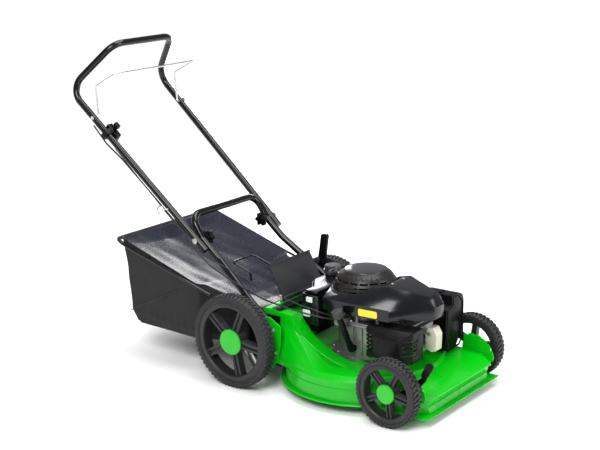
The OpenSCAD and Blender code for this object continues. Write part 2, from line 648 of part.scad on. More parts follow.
module blade() {
    color("silver") translate([crank_x, 0, blade_z]) difference() {
        intersection() {
            union() {
                translate([-blade_len / 2, -blade_w / 2, 0]) cube([blade_len, blade_w, blade_t]);
                for (s = [0, 180]) rotate(s) translate([blade_len / 2 - 78, blade_w / 2 - 12, 0])
                    rotate([24, 0, 0]) cube([66, 20, blade_t]);
            }
            translate([0, 0, -1]) cylinder(r = blade_len / 2, h = 40);
        }
        translate([0, 0, -1]) cylinder(r = 6, h = 10);
    }
}
module blade_bolt() {
    color("silver") translate([crank_x, 0, blade_z]) {
        cylinder(r = 6, h = 34);
        translate([0, 0, -3]) cylinder(r = 20, h = 3);
        translate([0, 0, -11]) cylinder(r = 11, h = 8, $fn = 6);
    }
}
belt_z = 256;
belt_top = 291;
nose_tip = crank_x + 255;
function shroud_plan(i) = let (h = shroud_half - i) [[crank_x - 72, -h + 6], [crank_x - 14, -h],
    [crank_x + 158, -h + 8], [nose_tip - 6 - i, -36 + i], [nose_tip - i, -24 + i], [nose_tip - i, 24 - i],
    [nose_tip - 6 - i, 36 - i], [crank_x + 158, h - 8], [crank_x - 14, h], [crank_x - 72, h - 6]];
module shroud_form(i) {
    low = belt_z - (i > 0 ? 1 : 0);
    hull() {
        translate([0, 0, low]) linear_extrude(height = belt_top - i - low) polygon(shroud_plan(i));
        translate([crank_x + 112, -66 + i, 338 - i]) cube([6, 132 - 2 * i, 4]);
        translate([nose_tip - 26 - i, -24 + i, 318 - i]) cube([8, 48 - 2 * i, 4]);
        translate([crank_x, 0, belt_top - i]) cylinder(r = recoil_r + 6 - i, h = 10, $fn = 32);
    }
}
module engine_shroud() {
    color("black") difference() {
        shroud_form(0);
        shroud_form(3);
        translate([crank_x, 0, 200]) cylinder(r = recoil_r - 6, h = 200);
        translate([crank_x, 0, recoil_z]) cylinder(r = recoil_r + 5, h = 100, $fn = 96);
    }
}
recoil_z = belt_top + 10;
disc_r = 64;
module recoil_cover() {
    r = recoil_r;
    h = recoil_top - recoil_z;
    t = 3;
    slot_z = [[h * 0.16, 0.95], [h * 0.36, 0.9], [h * 0.56, 0.82]];
    color([0.16, 0.15, 0.15]) translate([crank_x, 0, recoil_z]) difference() {
        rotate_extrude($fn = 96) polygon([[r - 14, 0], [r + 4, 0], [r + 4, 4], [r, 5], [r - 6, h * 0.45],
            [disc_r + 14, h * 0.82], [disc_r + 3, h - 3], [disc_r, h], [0, h], [0, h - t],
            [disc_r, h - t - 3], [disc_r + 10, h * 0.82 - t], [r - 10, h * 0.45], [r - 5, 5], [r - 14, 3]]);
        for (row = slot_z) for (k = [0:7]) rotate(-168 + 20 * k) translate([0, 0, row[0]])
            rotate_extrude(angle = 16, $fn = 96) translate([r * 0.74, 0]) square([r * 0.4, 4.5]);
        translate([-crank_x, 0, -recoil_z]) between(rope_start, rope_exit + 0.5 * (rope_exit - rope_start), 4);
    }
}
grip_at = [crank_x - 122, 6, 331];
rope_exit = [crank_x - 84, -4, 322];
rope_start = grip_at + [16.5, 0, 0];
module starter_grip() {
    color("dimgray") translate(grip_at) {
        difference() {
            union() {
                bar_y(8, -26, 26);
                rotate([0, 90, 0]) cylinder(r = 7, h = 16);
            }
            rotate([0, 90, 0]) cylinder(r = 2.4, h = 30);
        }
    }
}
module starter_rope() {
    color("gainsboro") between(rope_start, rope_exit, 2);
}
tank_low = 196;
tank_high = 299;
cap_at = [142, 66];
tank_y0 = -120;
tank_y1 = 112;
function tank_plan(i, x, e) = [[x + 42 + i, tank_y0 + e + i], [crank_x - 90 - e - i, tank_y0 + e + i],
    [crank_x - 102 - i, -56], [crank_x - 109 - i, -20], [crank_x - 109 - i, 20], [crank_x - 102 - i, 56],
    [crank_x - 90 - e - i, tank_y1 - e - i], [x + i, tank_y1 - e - i], [x + i, -10],
    [x + 42 + i, -66]];
module tank_form(i) {
    translate([0, 0, tank_low + i]) linear_extrude(height = tank_high - tank_low - 9 - i)
        polygon(tank_plan(i, 118, 0));
    translate([0, 0, tank_high - 14]) linear_extrude(height = 14 - i) polygon(tank_plan(i, 127, 9));
    translate([162 + i, -94 + i, tank_low - 32 + i]) cube([38 - 2 * i, 150 - 2 * i, 34]);
}
module fuel_tank() {
    color("black") difference() {
        union() {
            tank_form(0);
            translate([cap_at.x, cap_at.y, tank_high - 4]) cylinder(r = 19, h = 22);
            // foot that stands on the deck
            translate([tunnel_front_x + 30, -40, hump_top]) cube([30, 80, tank_low - 30 - hump_top]);
        }
        tank_form(3);
        translate([cap_at.x, cap_at.y, tank_high - 8]) cylinder(r = 16, h = 40);
    }
}
module fuel_cap() {
    color("dimgray") translate([cap_at.x, cap_at.y, tank_high + 2]) difference() {
        union() {
            cylinder(r = 24, h = 28);
            for (k = [0:17]) rotate(20 * k) translate([23, -2, 2]) cube([3, 4, 22]);
        }
        translate([0, 0, -1]) cylinder(r = 19 + run_gap, h = 18);
    }
}
filter_x = crank_x + 120;
filter_y0 = 96;
filter_y1 = 198;
filter_low = deck_top + 2;
filter_top = 280;
filter_step_y = shroud_half + 3;
module filter_outline(i, x0, x1) {
    translate([x0, 0, 0]) rotate([90, 0, 90]) linear_extrude(height = x1 - x0) polygon(concat(
        [[filter_y0 + i, filter_low + 18 + i], [filter_y0 + 16, filter_low + i], [filter_y1 - 50, filter_low + i],
            [filter_y1 - i, filter_low + 62]],
        arc([filter_y1 - 30, filter_top - 30], 30 - i, 0, 90, 8), [[filter_step_y + i, filter_top - i],
            [filter_step_y + i, belt_z - 4 - i], [filter_y0 + i, belt_z - 10 - i]]));
}
module air_filter_box() {
    color("black") difference() {
        union() {
            filter_outline(0, filter_x, filter_x + 50);
            // intake pipe and carburettor body
            translate([filter_x + 25, fin_half, 205]) bar_y(15, 0, filter_y0 - fin_half + 1);
            translate([filter_x + 4, fin_half + 14, 184]) cube([42, 26, 42]);
        }
        filter_outline(3, filter_x + 3, filter_x + 60);
        translate([filter_x + 25, 0, 205]) bar_y(10, fin_half + 6, filter_y0 + 20);
    }
}
module air_filter_cover() {
    x0 = filter_x + 50 + pass_gap;
    color("black") {
        difference() {
            filter_outline(0, x0, x0 + 50);
            filter_outline(3, x0 - 3, x0 + 47);
        }
        // hinge barrel on the top edge
        translate([x0 + 3, 0, filter_top + 1]) bar_y(3, filter_step_y + 8, filter_y1 - 36);
    }
}
guard_out = -156;
muffler_y = -127;
muffler_z = 192;
guard_x0 = crank_x + 93;
guard_x1 = guard_x0 + 150;
guard_low = 148;
guard_top = 241;
module muffler() {
    color("dimgray") {
        difference() {
            translate([guard_x0 + 37, muffler_y, muffler_z]) rotate([0, 90, 0]) linear_extrude(height = 76)
                polygon(concat(arc([12, 0], 22, -90, 90, 10), arc([-12, 0], 22, 90, 270, 10)));
            translate([guard_x0 + 30, muffler_y, muffler_z]) rotate([0, 90, 0]) cylinder(r = 15, h = 76);
        }
        translate([crank_x + 170, 0, muffler_z]) bar_y(12, muffler_y + 21, -fin_half);
        for (x = [crank_x + 145, crank_x + 190])
            translate([x, 0, muffler_z]) bar_y(7, guard_out + 3, muffler_y - 20);
    }
}
module guard_form(i, back) {
    intersection() {
        translate([0, 0, guard_low - i]) linear_extrude(height = guard_top - guard_low)
            polygon([[guard_x0 + i, back], [guard_x0 + i, -136 + i / 2], [guard_x0 + 40 + i / 2, guard_out + i],
                [guard_x1 - 34 - i / 2, guard_out + i], [guard_x1 - i, -122 + i / 2], [guard_x1 - i, -66 + i],
                [case_front + 3, -66 + i], [case_front + 3, back]]);
        translate([guard_x0 - 1, 0, 0]) rotate([90, 0, 90]) linear_extrude(height = 190)
            polygon([[-50, guard_low - 2 * i], [guard_out + 14 + i, guard_low - 2 * i],
                [guard_out + i, guard_low + 14], [guard_out + i, 221 - i / 2],
                [guard_out + 32 + i / 2, guard_top - i], [-50, guard_top - i]]);
    }
}
module muffler_guard() {
    color("black") difference() {
        guard_form(0, -108);
        guard_form(3, -100);
        for (z = [167, 179, 191, 203, 215]) translate([guard_x0 - 4, -160, z]) cube([36, 60, 6]);
        for (z = [170, 184, 198, 212]) translate([guard_x1 - 23, -160, z]) cube([27, 60, 6]);
    }
}
plug_x = case_front + cylinder_len + 8;
module spark_plug() {
    color("silver") translate([plug_x - 14, 0, cylinder_z]) rotate([0, 90, 0]) {
        cylinder(r = 6, h = 14);
        translate([0, 0, 14]) cylinder(r = 9, h = 8, $fn = 6);
        translate([0, 0, 22]) cylinder(r = 4.5, h = 20);
    }
}
module plug_boot() {
    color("ivory") difference() {
        union() {
            plate_y([[plug_x + 9, 160], [plug_x + 30, 152], [plug_x + 44, 158], [plug_x + 46, 206],
                [plug_x + 34, 226], [plug_x + 20, 226], [plug_x + 9, 208]], -17, 17);
        }
        translate([plug_x, 0, cylinder_z]) rotate([0, 90, 0]) cylinder(r = 4.5 + run_gap, h = 29);
    }
}
fill_low = [336, -114, 148];
fill_top = [318, -147, 250];
fill_dir = unit(fill_top - fill_low);
module oil_tube() {
    color("black") difference() {
        union() {
            between(fill_low, fill_top, 9.5);
            translate([fill_low.x, 0, fill_low.z]) bar_y(11, fill_low.y - 2, -case_half);
        }
        between(fill_low + 6 * fill_dir, fill_top + 4 * fill_dir, 7.5);
    }
}
module dipstick() {
    color("dimgray") difference() {
        union() {
            between(fill_top + 1 * fill_dir, fill_top + 24 * fill_dir, 17);
            between(fill_top - 22 * fill_dir, fill_top + 6 * fill_dir, 7.5 - run_gap);
            between(fill_top - 84 * fill_dir, fill_top - 12 * fill_dir, 2);
        }
    }
}

// ---- grass bag ----
bag_half = bag_w / 2;
neck_half = rear_y - rear_tyre_w / 2 - 23;
mouth_x = tunnel_rear_x - 5;
mouth_half = tunnel_w / 2 - 20;
bag_side_x = -rear_r - 22;
wire_r = 4;
function bag_plan(i) = [[-bag_reach + i, -bag_half + i], [bag_side_x - i, -bag_half + i],
    [bag_side_x + 16 - i, -neck_half + i], [mouth_x + (i > 0 ? 5 : 0), -mouth_half + i],
    [mouth_x + (i > 0 ? 5 : 0), mouth_half - i], [bag_side_x + 16 - i, neck_half - i],
    [bag_side_x - i, bag_half - i], [-bag_reach + i, bag_half - i]];
bag_roof = [[-bag_reach, bag_top_z - 4], [-bag_reach + 10, bag_top_z], [bag_side_x, 291], [-60, 254],
    [mouth_x, 229]];
function sunk(p, by) = [for (k = [len(p) - 1:-1:0]) p[k] - [0, by]];
function bag_floor(i) = [[mouth_x + (i > 0 ? 8 : 0), 96 + i], [bag_side_x, 101 + i],
    [-bag_reach + 44 + i, 108 + i], [-bag_reach + 26 + i, 116 + i], [-bag_reach + 16 + i, 134 + i]];
module bag_slice(plan, outline) {
    intersection() {
        linear_extrude(height = 500) polygon(plan);
        plate_y(outline, -bag_half - 5, bag_half + 5);
    }
}
module bag_top() {
    color([0.1, 0.12, 0.2]) bag_slice(bag_plan(0), concat(bag_roof, sunk(bag_roof, cloth)));
}
module bag_mesh() {
    roof = [for (p = bag_roof) p - [0, cloth + 0.2]];
    color("dimgray") difference() {
        bag_slice(bag_plan(0), concat(roof, bag_floor(0)));
        bag_slice(bag_plan(cloth), concat([[-bag_reach + cloth, bag_top_z + 20],
            [mouth_x + 8, bag_top_z + 20]], bag_floor(cloth)));
    }
}
module bag_frame() {
    y = bag_half + wire_r + 0.5;
    side = [[bag_side_x + 62, y, 264], [-bag_reach + 22, y, 368], [-bag_reach - 6, y, 384],
        [-bag_reach - 6, -y, 384], [-bag_reach + 22, -y, 368], [bag_side_x + 62, -y, 264]];
    color("black") {
        sweep(rounded(side, 12, 3), wire_r, 8);
        // carrying handle on the roof
        sweep(rounded([[-92, -52, 266.6], [-92, -52, 292], [-168, -52, 315], [-168, 52, 315], [-92, 52, 292],
            [-92, 52, 266.6]], 14, 3), 3, 8);
        // clips that lace the cloth to the wire
        both_sides() for (k = [0:4]) let (f = 0.1 + 0.19 * k, x = side[1].x * (1 - f) + side[0].x * f)
            if (x < bag_side_x - 6)
                translate([x, bag_half, side[1].z * (1 - f) + side[0].z * f]) rotate([-90, 0, 0])
                    cylinder(r = 6, h = wire_r + 1);
    }
}

deck_shell();
deck_baffle();
rear_brackets();
front_brackets();
rear_flap();
flap_rod();
rear_axle();
rear_lever();
rear_lever_grip();
front_axle();
front_lever();
front_lever_grip();
rear_right_tyre();
rear_right_rim();
rear_right_cap();
rear_left_tyre();
rear_left_rim();
rear_left_cap();
front_right_tyre();
front_right_rim();
front_right_cap();
front_left_tyre();
front_left_rim();
front_left_cap();
lower_handle();
pivot_bolts();
right_knob();
left_knob();
upper_handle();
bail();
rope_guide();
throttle_housing();
throttle_lever();
handle_cables();
engine_cables();
crankcase();
cylinder_barrel();
piston();
crankshaft();
flywheel();
blade();
blade_bolt();
engine_shroud();
recoil_cover();
starter_grip();
starter_rope();
fuel_tank();
fuel_cap();
air_filter_box();
air_filter_cover();
muffler();
muffler_guard();
spark_plug();
plug_boot();
oil_tube();
dipstick();
engine_bolts();
bag_frame();
bag_top();
bag_mesh();
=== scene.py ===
"""Walk-behind petrol lawn mower: the looks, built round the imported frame. Sizes in the lists are millimetres."""

import json
import math

import bpy
from mathutils import Matrix, Vector, noise


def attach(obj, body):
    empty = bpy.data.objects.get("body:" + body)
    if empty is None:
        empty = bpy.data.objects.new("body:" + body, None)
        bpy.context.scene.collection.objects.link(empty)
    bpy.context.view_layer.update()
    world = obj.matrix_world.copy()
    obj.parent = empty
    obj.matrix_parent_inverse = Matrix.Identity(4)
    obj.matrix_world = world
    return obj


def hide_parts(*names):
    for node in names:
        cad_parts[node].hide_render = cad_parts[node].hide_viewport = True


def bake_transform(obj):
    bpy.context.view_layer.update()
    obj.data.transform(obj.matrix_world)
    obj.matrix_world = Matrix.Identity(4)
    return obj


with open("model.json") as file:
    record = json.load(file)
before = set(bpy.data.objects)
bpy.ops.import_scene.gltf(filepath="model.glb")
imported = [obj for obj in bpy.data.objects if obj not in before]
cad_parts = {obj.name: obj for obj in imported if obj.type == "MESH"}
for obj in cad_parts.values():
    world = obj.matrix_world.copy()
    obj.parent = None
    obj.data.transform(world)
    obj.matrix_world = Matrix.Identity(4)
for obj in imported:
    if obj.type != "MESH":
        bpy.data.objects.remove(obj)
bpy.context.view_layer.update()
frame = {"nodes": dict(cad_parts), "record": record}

MM = 0.001
RIGHT, LEFT = -1, 1


# ---- small helpers for modelling ----
def metres(point):
    return Vector(point) * MM


def deselect():
    bpy.ops.object.select_all(action="DESELECT")


def pick(piece):
    deselect()
    piece.select_set(True)
    bpy.context.view_layer.objects.active = piece
    return piece


def settle(piece, name):
    """The piece gets its name, and its place goes into its mesh."""
    pick(piece)
    bpy.ops.object.transform_apply(location=True, rotation=True, scale=True)
    piece.name = name
    piece.data.name = name
    return piece


def mesh_piece(name, vertices, faces):
    mesh = bpy.data.meshes.new(name)
    mesh.from_pydata([tuple(metres(v)) for v in vertices], [], faces)
    mesh.update()
    piece = bpy.data.objects.new(name, mesh)
    bpy.context.scene.collection.objects.link(piece)
    return pick(piece)


def in_edit(piece, *steps):
    pick(piece)
    bpy.ops.object.mode_set(mode="EDIT")
    bpy.ops.mesh.select_all(action="SELECT")
    for step in steps:
        step()
    bpy.ops.object.mode_set(mode="OBJECT")


def outward():
    bpy.ops.mesh.remove_doubles(threshold=1e-6)
    bpy.ops.mesh.normals_make_consistent(inside=False)


def smooth(piece, angle=35):
    pick(piece)
    bpy.ops.object.shade_smooth_by_angle(angle=math.radians(angle))
    return piece


def modify(piece, kind, **values):
    pick(piece)
    modifier = piece.modifiers.new(kind.lower(), kind)
    for key, value in values.items():
        setattr(modifier, key, value)
    bpy.ops.object.modifier_apply(modifier=modifier.name)
    return piece


def rounded_edges(piece, width, segments=2, angle=30):
    modify(piece, "BEVEL", width=width * MM, segments=segments, limit_method="ANGLE",
           angle_limit=math.radians(angle), miter_outer="MITER_ARC", use_clamp_overlap=True)
    return smooth(piece, 40)


def copy_of(piece, name, matrix):
    twin = piece.copy()
    twin.data = piece.data.copy()
    bpy.context.scene.collection.objects.link(twin)
    twin.data.transform(matrix)
    if matrix.determinant() < 0:
        twin.data.flip_normals()
    twin.name = twin.data.name = name
    return twin


def joined(pieces, name):
    deselect()
    for p in pieces:
        p.select_set(True)
    bpy.context.view_layer.objects.active = pieces[0]
    if len(pieces) > 1:
        bpy.ops.object.join()
    pieces[0].name = pieces[0].data.name = name
    return pieces[0]


def block(name, low, high, bevel=1.0, segments=2):
    """A bar with rounded edges between two corners."""
    low, high = metres(low), metres(high)
    deselect()
    bpy.ops.mesh.primitive_cube_add(size=1, location=(low + high) / 2)
    piece = bpy.context.object
    piece.scale = high - low
    settle(piece, name)
    return rounded_edges(piece, bevel, segments)


def turned(name, profile, place, axis="Z", steps=96, flip=False):
    """A piece turned on a lathe: profile holds radius and height, place its foot, axis its direction."""
    piece = mesh_piece(name, [(r, 0, h) for r, h in profile], [])
    mesh = piece.data
    mesh.clear_geometry()
    mesh.from_pydata([tuple(metres((r, 0, h))) for r, h in profile],
                     [(i, i + 1) for i in range(len(profile) - 1)], [])
    in_edit(piece, lambda: bpy.ops.mesh.spin(steps=steps, angle=2 * math.pi, center=(0, 0, 0), axis=(0, 0, 1)),
            lambda: bpy.ops.mesh.select_all(action="SELECT"), outward)
    if flip:
        piece.data.transform(Matrix.Rotation(math.pi, 4, "X"))
    if axis == "Y":
        piece.data.transform(Matrix.Rotation(-math.pi / 2, 4, "X"))
    elif axis == "X":
        piece.data.transform(Matrix.Rotation(math.pi / 2, 4, "Y"))
    elif not isinstance(axis, str):
        piece.data.transform(Vector((0, 0, 1)).rotation_difference(Vector(axis)).to_matrix().to_4x4())
    piece.data.transform(Matrix.Translation(metres(place)))
    return smooth(piece, 32)


def eased(points, radius, steps=8):
    """The path with each inner corner turned into an arc of that radius."""
    path = [Vector(points[0])]
    for a, b, c in zip(points, points[1:], points[2:]):
        a, b, c = Vector(a), Vector(b), Vector(c)
        u, v = (b - a).normalized(), (c - b).normalized()
        turn = u.angle(v)
        if turn < 0.01:
            path.append(b)
            continue
        reach = min(radius * math.tan(turn / 2), 0.48 * (b - a).length, 0.48 * (c - b).length)
        r = reach / math.tan(turn / 2)
        centre = b + (v - u).normalized() * (r / math.cos(turn / 2))
        start = b - u * reach - centre
        axis = u.cross(v).normalized()
        path += [centre + Matrix.Rotation(turn * k / steps, 3, axis) @ start for k in range(steps + 1)]
    return path + [Vector(points[-1])]


def bar(name, points, radius, sides=16):
    """A round bar or tube along the path."""
    curve = bpy.data.curves.new(name, "CURVE")
    curve.dimensions = "3D"
    curve.bevel_depth = radius * MM
    curve.bevel_resolution = max(1, sides // 4)
    curve.use_fill_caps = True
    spline = curve.splines.new("POLY")
    spline.points.add(len(points) - 1)
    for point, place in zip(spline.points, points):
        point.co = (*metres(place), 1)
    piece = bpy.data.objects.new(name, curve)
    bpy.context.scene.collection.objects.link(piece)
    pick(piece)
    bpy.ops.object.convert(target="MESH")
    piece = bpy.context.object
    piece.name = piece.data.name = name
    in_edit(piece, outward)
    return smooth(piece, 40)


def pressed_copy(node, name, width=0.8, segments=2, angle=30):
    """The CAD node's shape with its sharp edges rounded off; it stands for the node."""
    source = frame["nodes"][node]
    piece = bpy.data.objects.new(name, source.data.copy())
    piece.data.name = name
    piece.data.materials.clear()
    bpy.context.scene.collection.objects.link(piece)
    in_edit(piece, lambda: bpy.ops.mesh.remove_doubles(threshold=2e-6),
            lambda: bpy.ops.mesh.dissolve_limited(angle_limit=math.radians(0.4)))
    if width:
        rounded_edges(piece, width, segments, angle)
    else:
        smooth(piece, 35)
    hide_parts(node)
    return piece


# ---- node groups that the finishes share ----
def group(name, inputs, outputs):
    tree = bpy.data.node_groups.new(name, "ShaderNodeTree")
    for title, kind, value in inputs:
        socket = tree.interface.new_socket(title, in_out="INPUT", socket_type="NodeSocket" + kind)
        if value is not None:
            socket.default_value = value
    for title, kind in outputs:
        tree.interface.new_socket(title, in_out="OUTPUT", socket_type="NodeSocket" + kind)
    return tree, tree.nodes.new("NodeGroupInput"), tree.nodes.new("NodeGroupOutput")


def math_node(tree, operation, a, b=None):
    node = tree.nodes.new("ShaderNodeMath")
    node.operation = operation
    for socket, value in zip(node.inputs, (a, b)):
        if hasattr(value, "is_linked") or hasattr(value, "links"):
            tree.links.new(value, socket)
        elif value is not None:
            socket.default_value = value
    return node.outputs[0]


def mottle_group():
    """Cloudy change between two colours, with a duller finish where the second shows."""
    tree, start, end = group("Mottle",
        [("Color", "Color", (1, 1, 1, 1)), ("Shade", "Color", (0, 0, 0, 1)), ("Scale", "Float", 20.0),
         ("Amount", "Float", 0.5), ("Roughness", "Float", 0.5), ("Spread", "Float", 0.1)],
        [("Color", "Color"), ("Roughness", "Float")])
    place = tree.nodes.new("ShaderNodeTexCoord")
    cloud = tree.nodes.new("ShaderNodeTexNoise")
    cloud.inputs["Detail"].default_value = 6
    speck = tree.nodes.new("ShaderNodeTexNoise")
    speck.inputs["Detail"].default_value = 3
    tree.links.new(place.outputs["Object"], cloud.inputs["Vector"])
    tree.links.new(place.outputs["Object"], speck.inputs["Vector"])
    tree.links.new(start.outputs["Scale"], cloud.inputs["Scale"])
    tree.links.new(math_node(tree, "MULTIPLY", start.outputs["Scale"], 9.0), speck.inputs["Scale"])
    both = math_node(tree, "ADD", math_node(tree, "MULTIPLY", cloud.outputs["Fac"], 0.65),
                     math_node(tree, "MULTIPLY", speck.outputs["Fac"], 0.35))
    share = tree.nodes.new("ShaderNodeMapRange")
    share.inputs["From Min"].default_value = 0.38
    share.inputs["From Max"].default_value = 0.66
    tree.links.new(both, share.inputs["Value"])
    amount = math_node(tree, "MULTIPLY", share.outputs["Result"], start.outputs["Amount"])
    mix = tree.nodes.new("ShaderNodeMix")
    mix.data_type = "RGBA"
    tree.links.new(amount, mix.inputs["Factor"])
    tree.links.new(start.outputs["Color"], mix.inputs["A"])
    tree.links.new(start.outputs["Shade"], mix.inputs["B"])
    tree.links.new(mix.outputs["Result"], end.inputs["Color"])
    tree.links.new(math_node(tree, "ADD", start.outputs["Roughness"],
                             math_node(tree, "MULTIPLY", share.outputs["Result"], start.outputs["Spread"])),
                   end.inputs["Roughness"])
    return tree


def grain_group():
    """Moulded or cast grain as a normal."""
    tree, start, end = group("Grain",
        [("Scale", "Float", 600.0), ("Depth", "Float", 0.1), ("Stretch", "Vector", (1, 1, 1))],
        [("Normal", "Vector")])
    place = tree.nodes.new("ShaderNodeTexCoord")
    stretch = tree.nodes.new("ShaderNodeVectorMath")
    stretch.operation = "MULTIPLY"
    tree.links.new(place.outputs["Object"], stretch.inputs[0])
    tree.links.new(start.outputs["Stretch"], stretch.inputs[1])
    grain = tree.nodes.new("ShaderNodeTexNoise")
    grain.inputs["Detail"].default_value = 2
    tree.links.new(stretch.outputs["Vector"], grain.inputs["Vector"])
    tree.links.new(start.outputs["Scale"], grain.inputs["Scale"])
    bump = tree.nodes.new("ShaderNodeBump")
    bump.inputs["Distance"].default_value = 0.0005
    tree.links.new(start.outputs["Depth"], bump.inputs["Strength"])
    tree.links.new(grain.outputs["Fac"], bump.inputs["Height"])
    tree.links.new(bump.outputs["Normal"], end.inputs["Normal"])
    return tree


def weave_group():
    """Crossed threads of a cloth: a mask of the threads, and their normal."""
    tree, start, end = group("Weave",
        [("Vector", "Vector", None), ("Pitch", "Float", 400.0), ("Depth", "Float", 0.3)],
        [("Threads", "Float"), ("Normal", "Vector")])
    waves = []
    for direction in "XY":
        wave = tree.nodes.new("ShaderNodeTexWave")
        wave.bands_direction = direction
        wave.inputs["Distortion"].default_value = 0.4
        wave.inputs["Detail"].default_value = 1
        tree.links.new(start.outputs["Vector"], wave.inputs["Vector"])
        tree.links.new(start.outputs["Pitch"], wave.inputs["Scale"])
        waves.append(wave.outputs["Fac"])
    threads = math_node(tree, "MAXIMUM", *waves)
    bump = tree.nodes.new("ShaderNodeBump")
    bump.inputs["Distance"].default_value = 0.0006
    tree.links.new(start.outputs["Depth"], bump.inputs["Strength"])
    tree.links.new(threads, bump.inputs["Height"])
    tree.links.new(threads, end.inputs["Threads"])
    tree.links.new(bump.outputs["Normal"], end.inputs["Normal"])
    return tree


MOTTLE, GRAIN, WEAVE = mottle_group(), grain_group(), weave_group()


def place_group(tree, source, **values):
    node = tree.nodes.new("ShaderNodeGroup")
    node.node_tree = source
    for key, value in values.items():
        node.inputs[key].default_value = value
    return node


def finish(name, color, shade=None, roughness=0.4, spread=0.1, metallic=0.0, mottle=18.0, amount=0.5,
           grain=600.0, depth=0.08, stretch=(1, 1, 1), coat=0.0, coat_roughness=0.1, sheen=0.0, shine=0.5):
    """A finish: cloudy colour, uneven gloss and a fine grain."""
    material = bpy.data.materials.new(name)
    material.use_nodes = True
    tree = material.node_tree
    shader = tree.nodes["Principled BSDF"]
    shade = shade or tuple(c * 0.7 for c in color)
    mottled = place_group(tree, MOTTLE, Color=(*color, 1), Shade=(*shade, 1), Scale=mottle, Amount=amount,
                          Roughness=roughness, Spread=spread)
    grained = place_group(tree, GRAIN, Scale=grain, Depth=depth, Stretch=stretch)
    tree.links.new(mottled.outputs["Color"], shader.inputs["Base Color"])
    tree.links.new(mottled.outputs["Roughness"], shader.inputs["Roughness"])
    tree.links.new(grained.outputs["Normal"], shader.inputs["Normal"])
    shader.inputs["Metallic"].default_value = metallic
    shader.inputs["Specular IOR Level"].default_value = shine
    shader.inputs["Coat Weight"].default_value = coat
    shader.inputs["Coat Roughness"].default_value = coat_roughness
    shader.inputs["Sheen Weight"].default_value = sheen
    return material


def cloth_finish(name, color, thread, pitch, roughness, depth, coat=0.0, sheen=0.0, shine=0.25):
    """Woven cloth whose threads follow the piece's own UV map, in metres of cloth."""
    material = bpy.data.materials.new(name)
    material.use_nodes = True
    tree = material.node_tree
    shader = tree.nodes["Principled BSDF"]
    cut = tree.nodes.new("ShaderNodeUVMap")
    cut.uv_map = "cut"
    weave = place_group(tree, WEAVE, Pitch=pitch, Depth=depth)
    tree.links.new(cut.outputs["UV"], weave.inputs["Vector"])
    mottled = place_group(tree, MOTTLE, Color=(*color, 1), Shade=(*(c * 1.5 for c in color), 1), Scale=9.0,
                          Amount=0.6, Roughness=roughness, Spread=0.03)
    mix = tree.nodes.new("ShaderNodeMix")
    mix.data_type = "RGBA"
    mix.inputs["A"].default_value = (*thread, 1)
    tree.links.new(weave.outputs["Threads"], mix.inputs["Factor"])
    tree.links.new(mottled.outputs["Color"], mix.inputs["B"])
    tree.links.new(mix.outputs["Result"], shader.inputs["Base Color"])
    tree.links.new(mottled.outputs["Roughness"], shader.inputs["Roughness"])
    tree.links.new(weave.outputs["Normal"], shader.inputs["Normal"])
    shader.inputs["Coat Weight"].default_value = coat
    shader.inputs["Coat Roughness"].default_value = 0.22
    shader.inputs["Specular IOR Level"].default_value = shine
    shader.inputs["Sheen Weight"].default_value = sheen
    return material


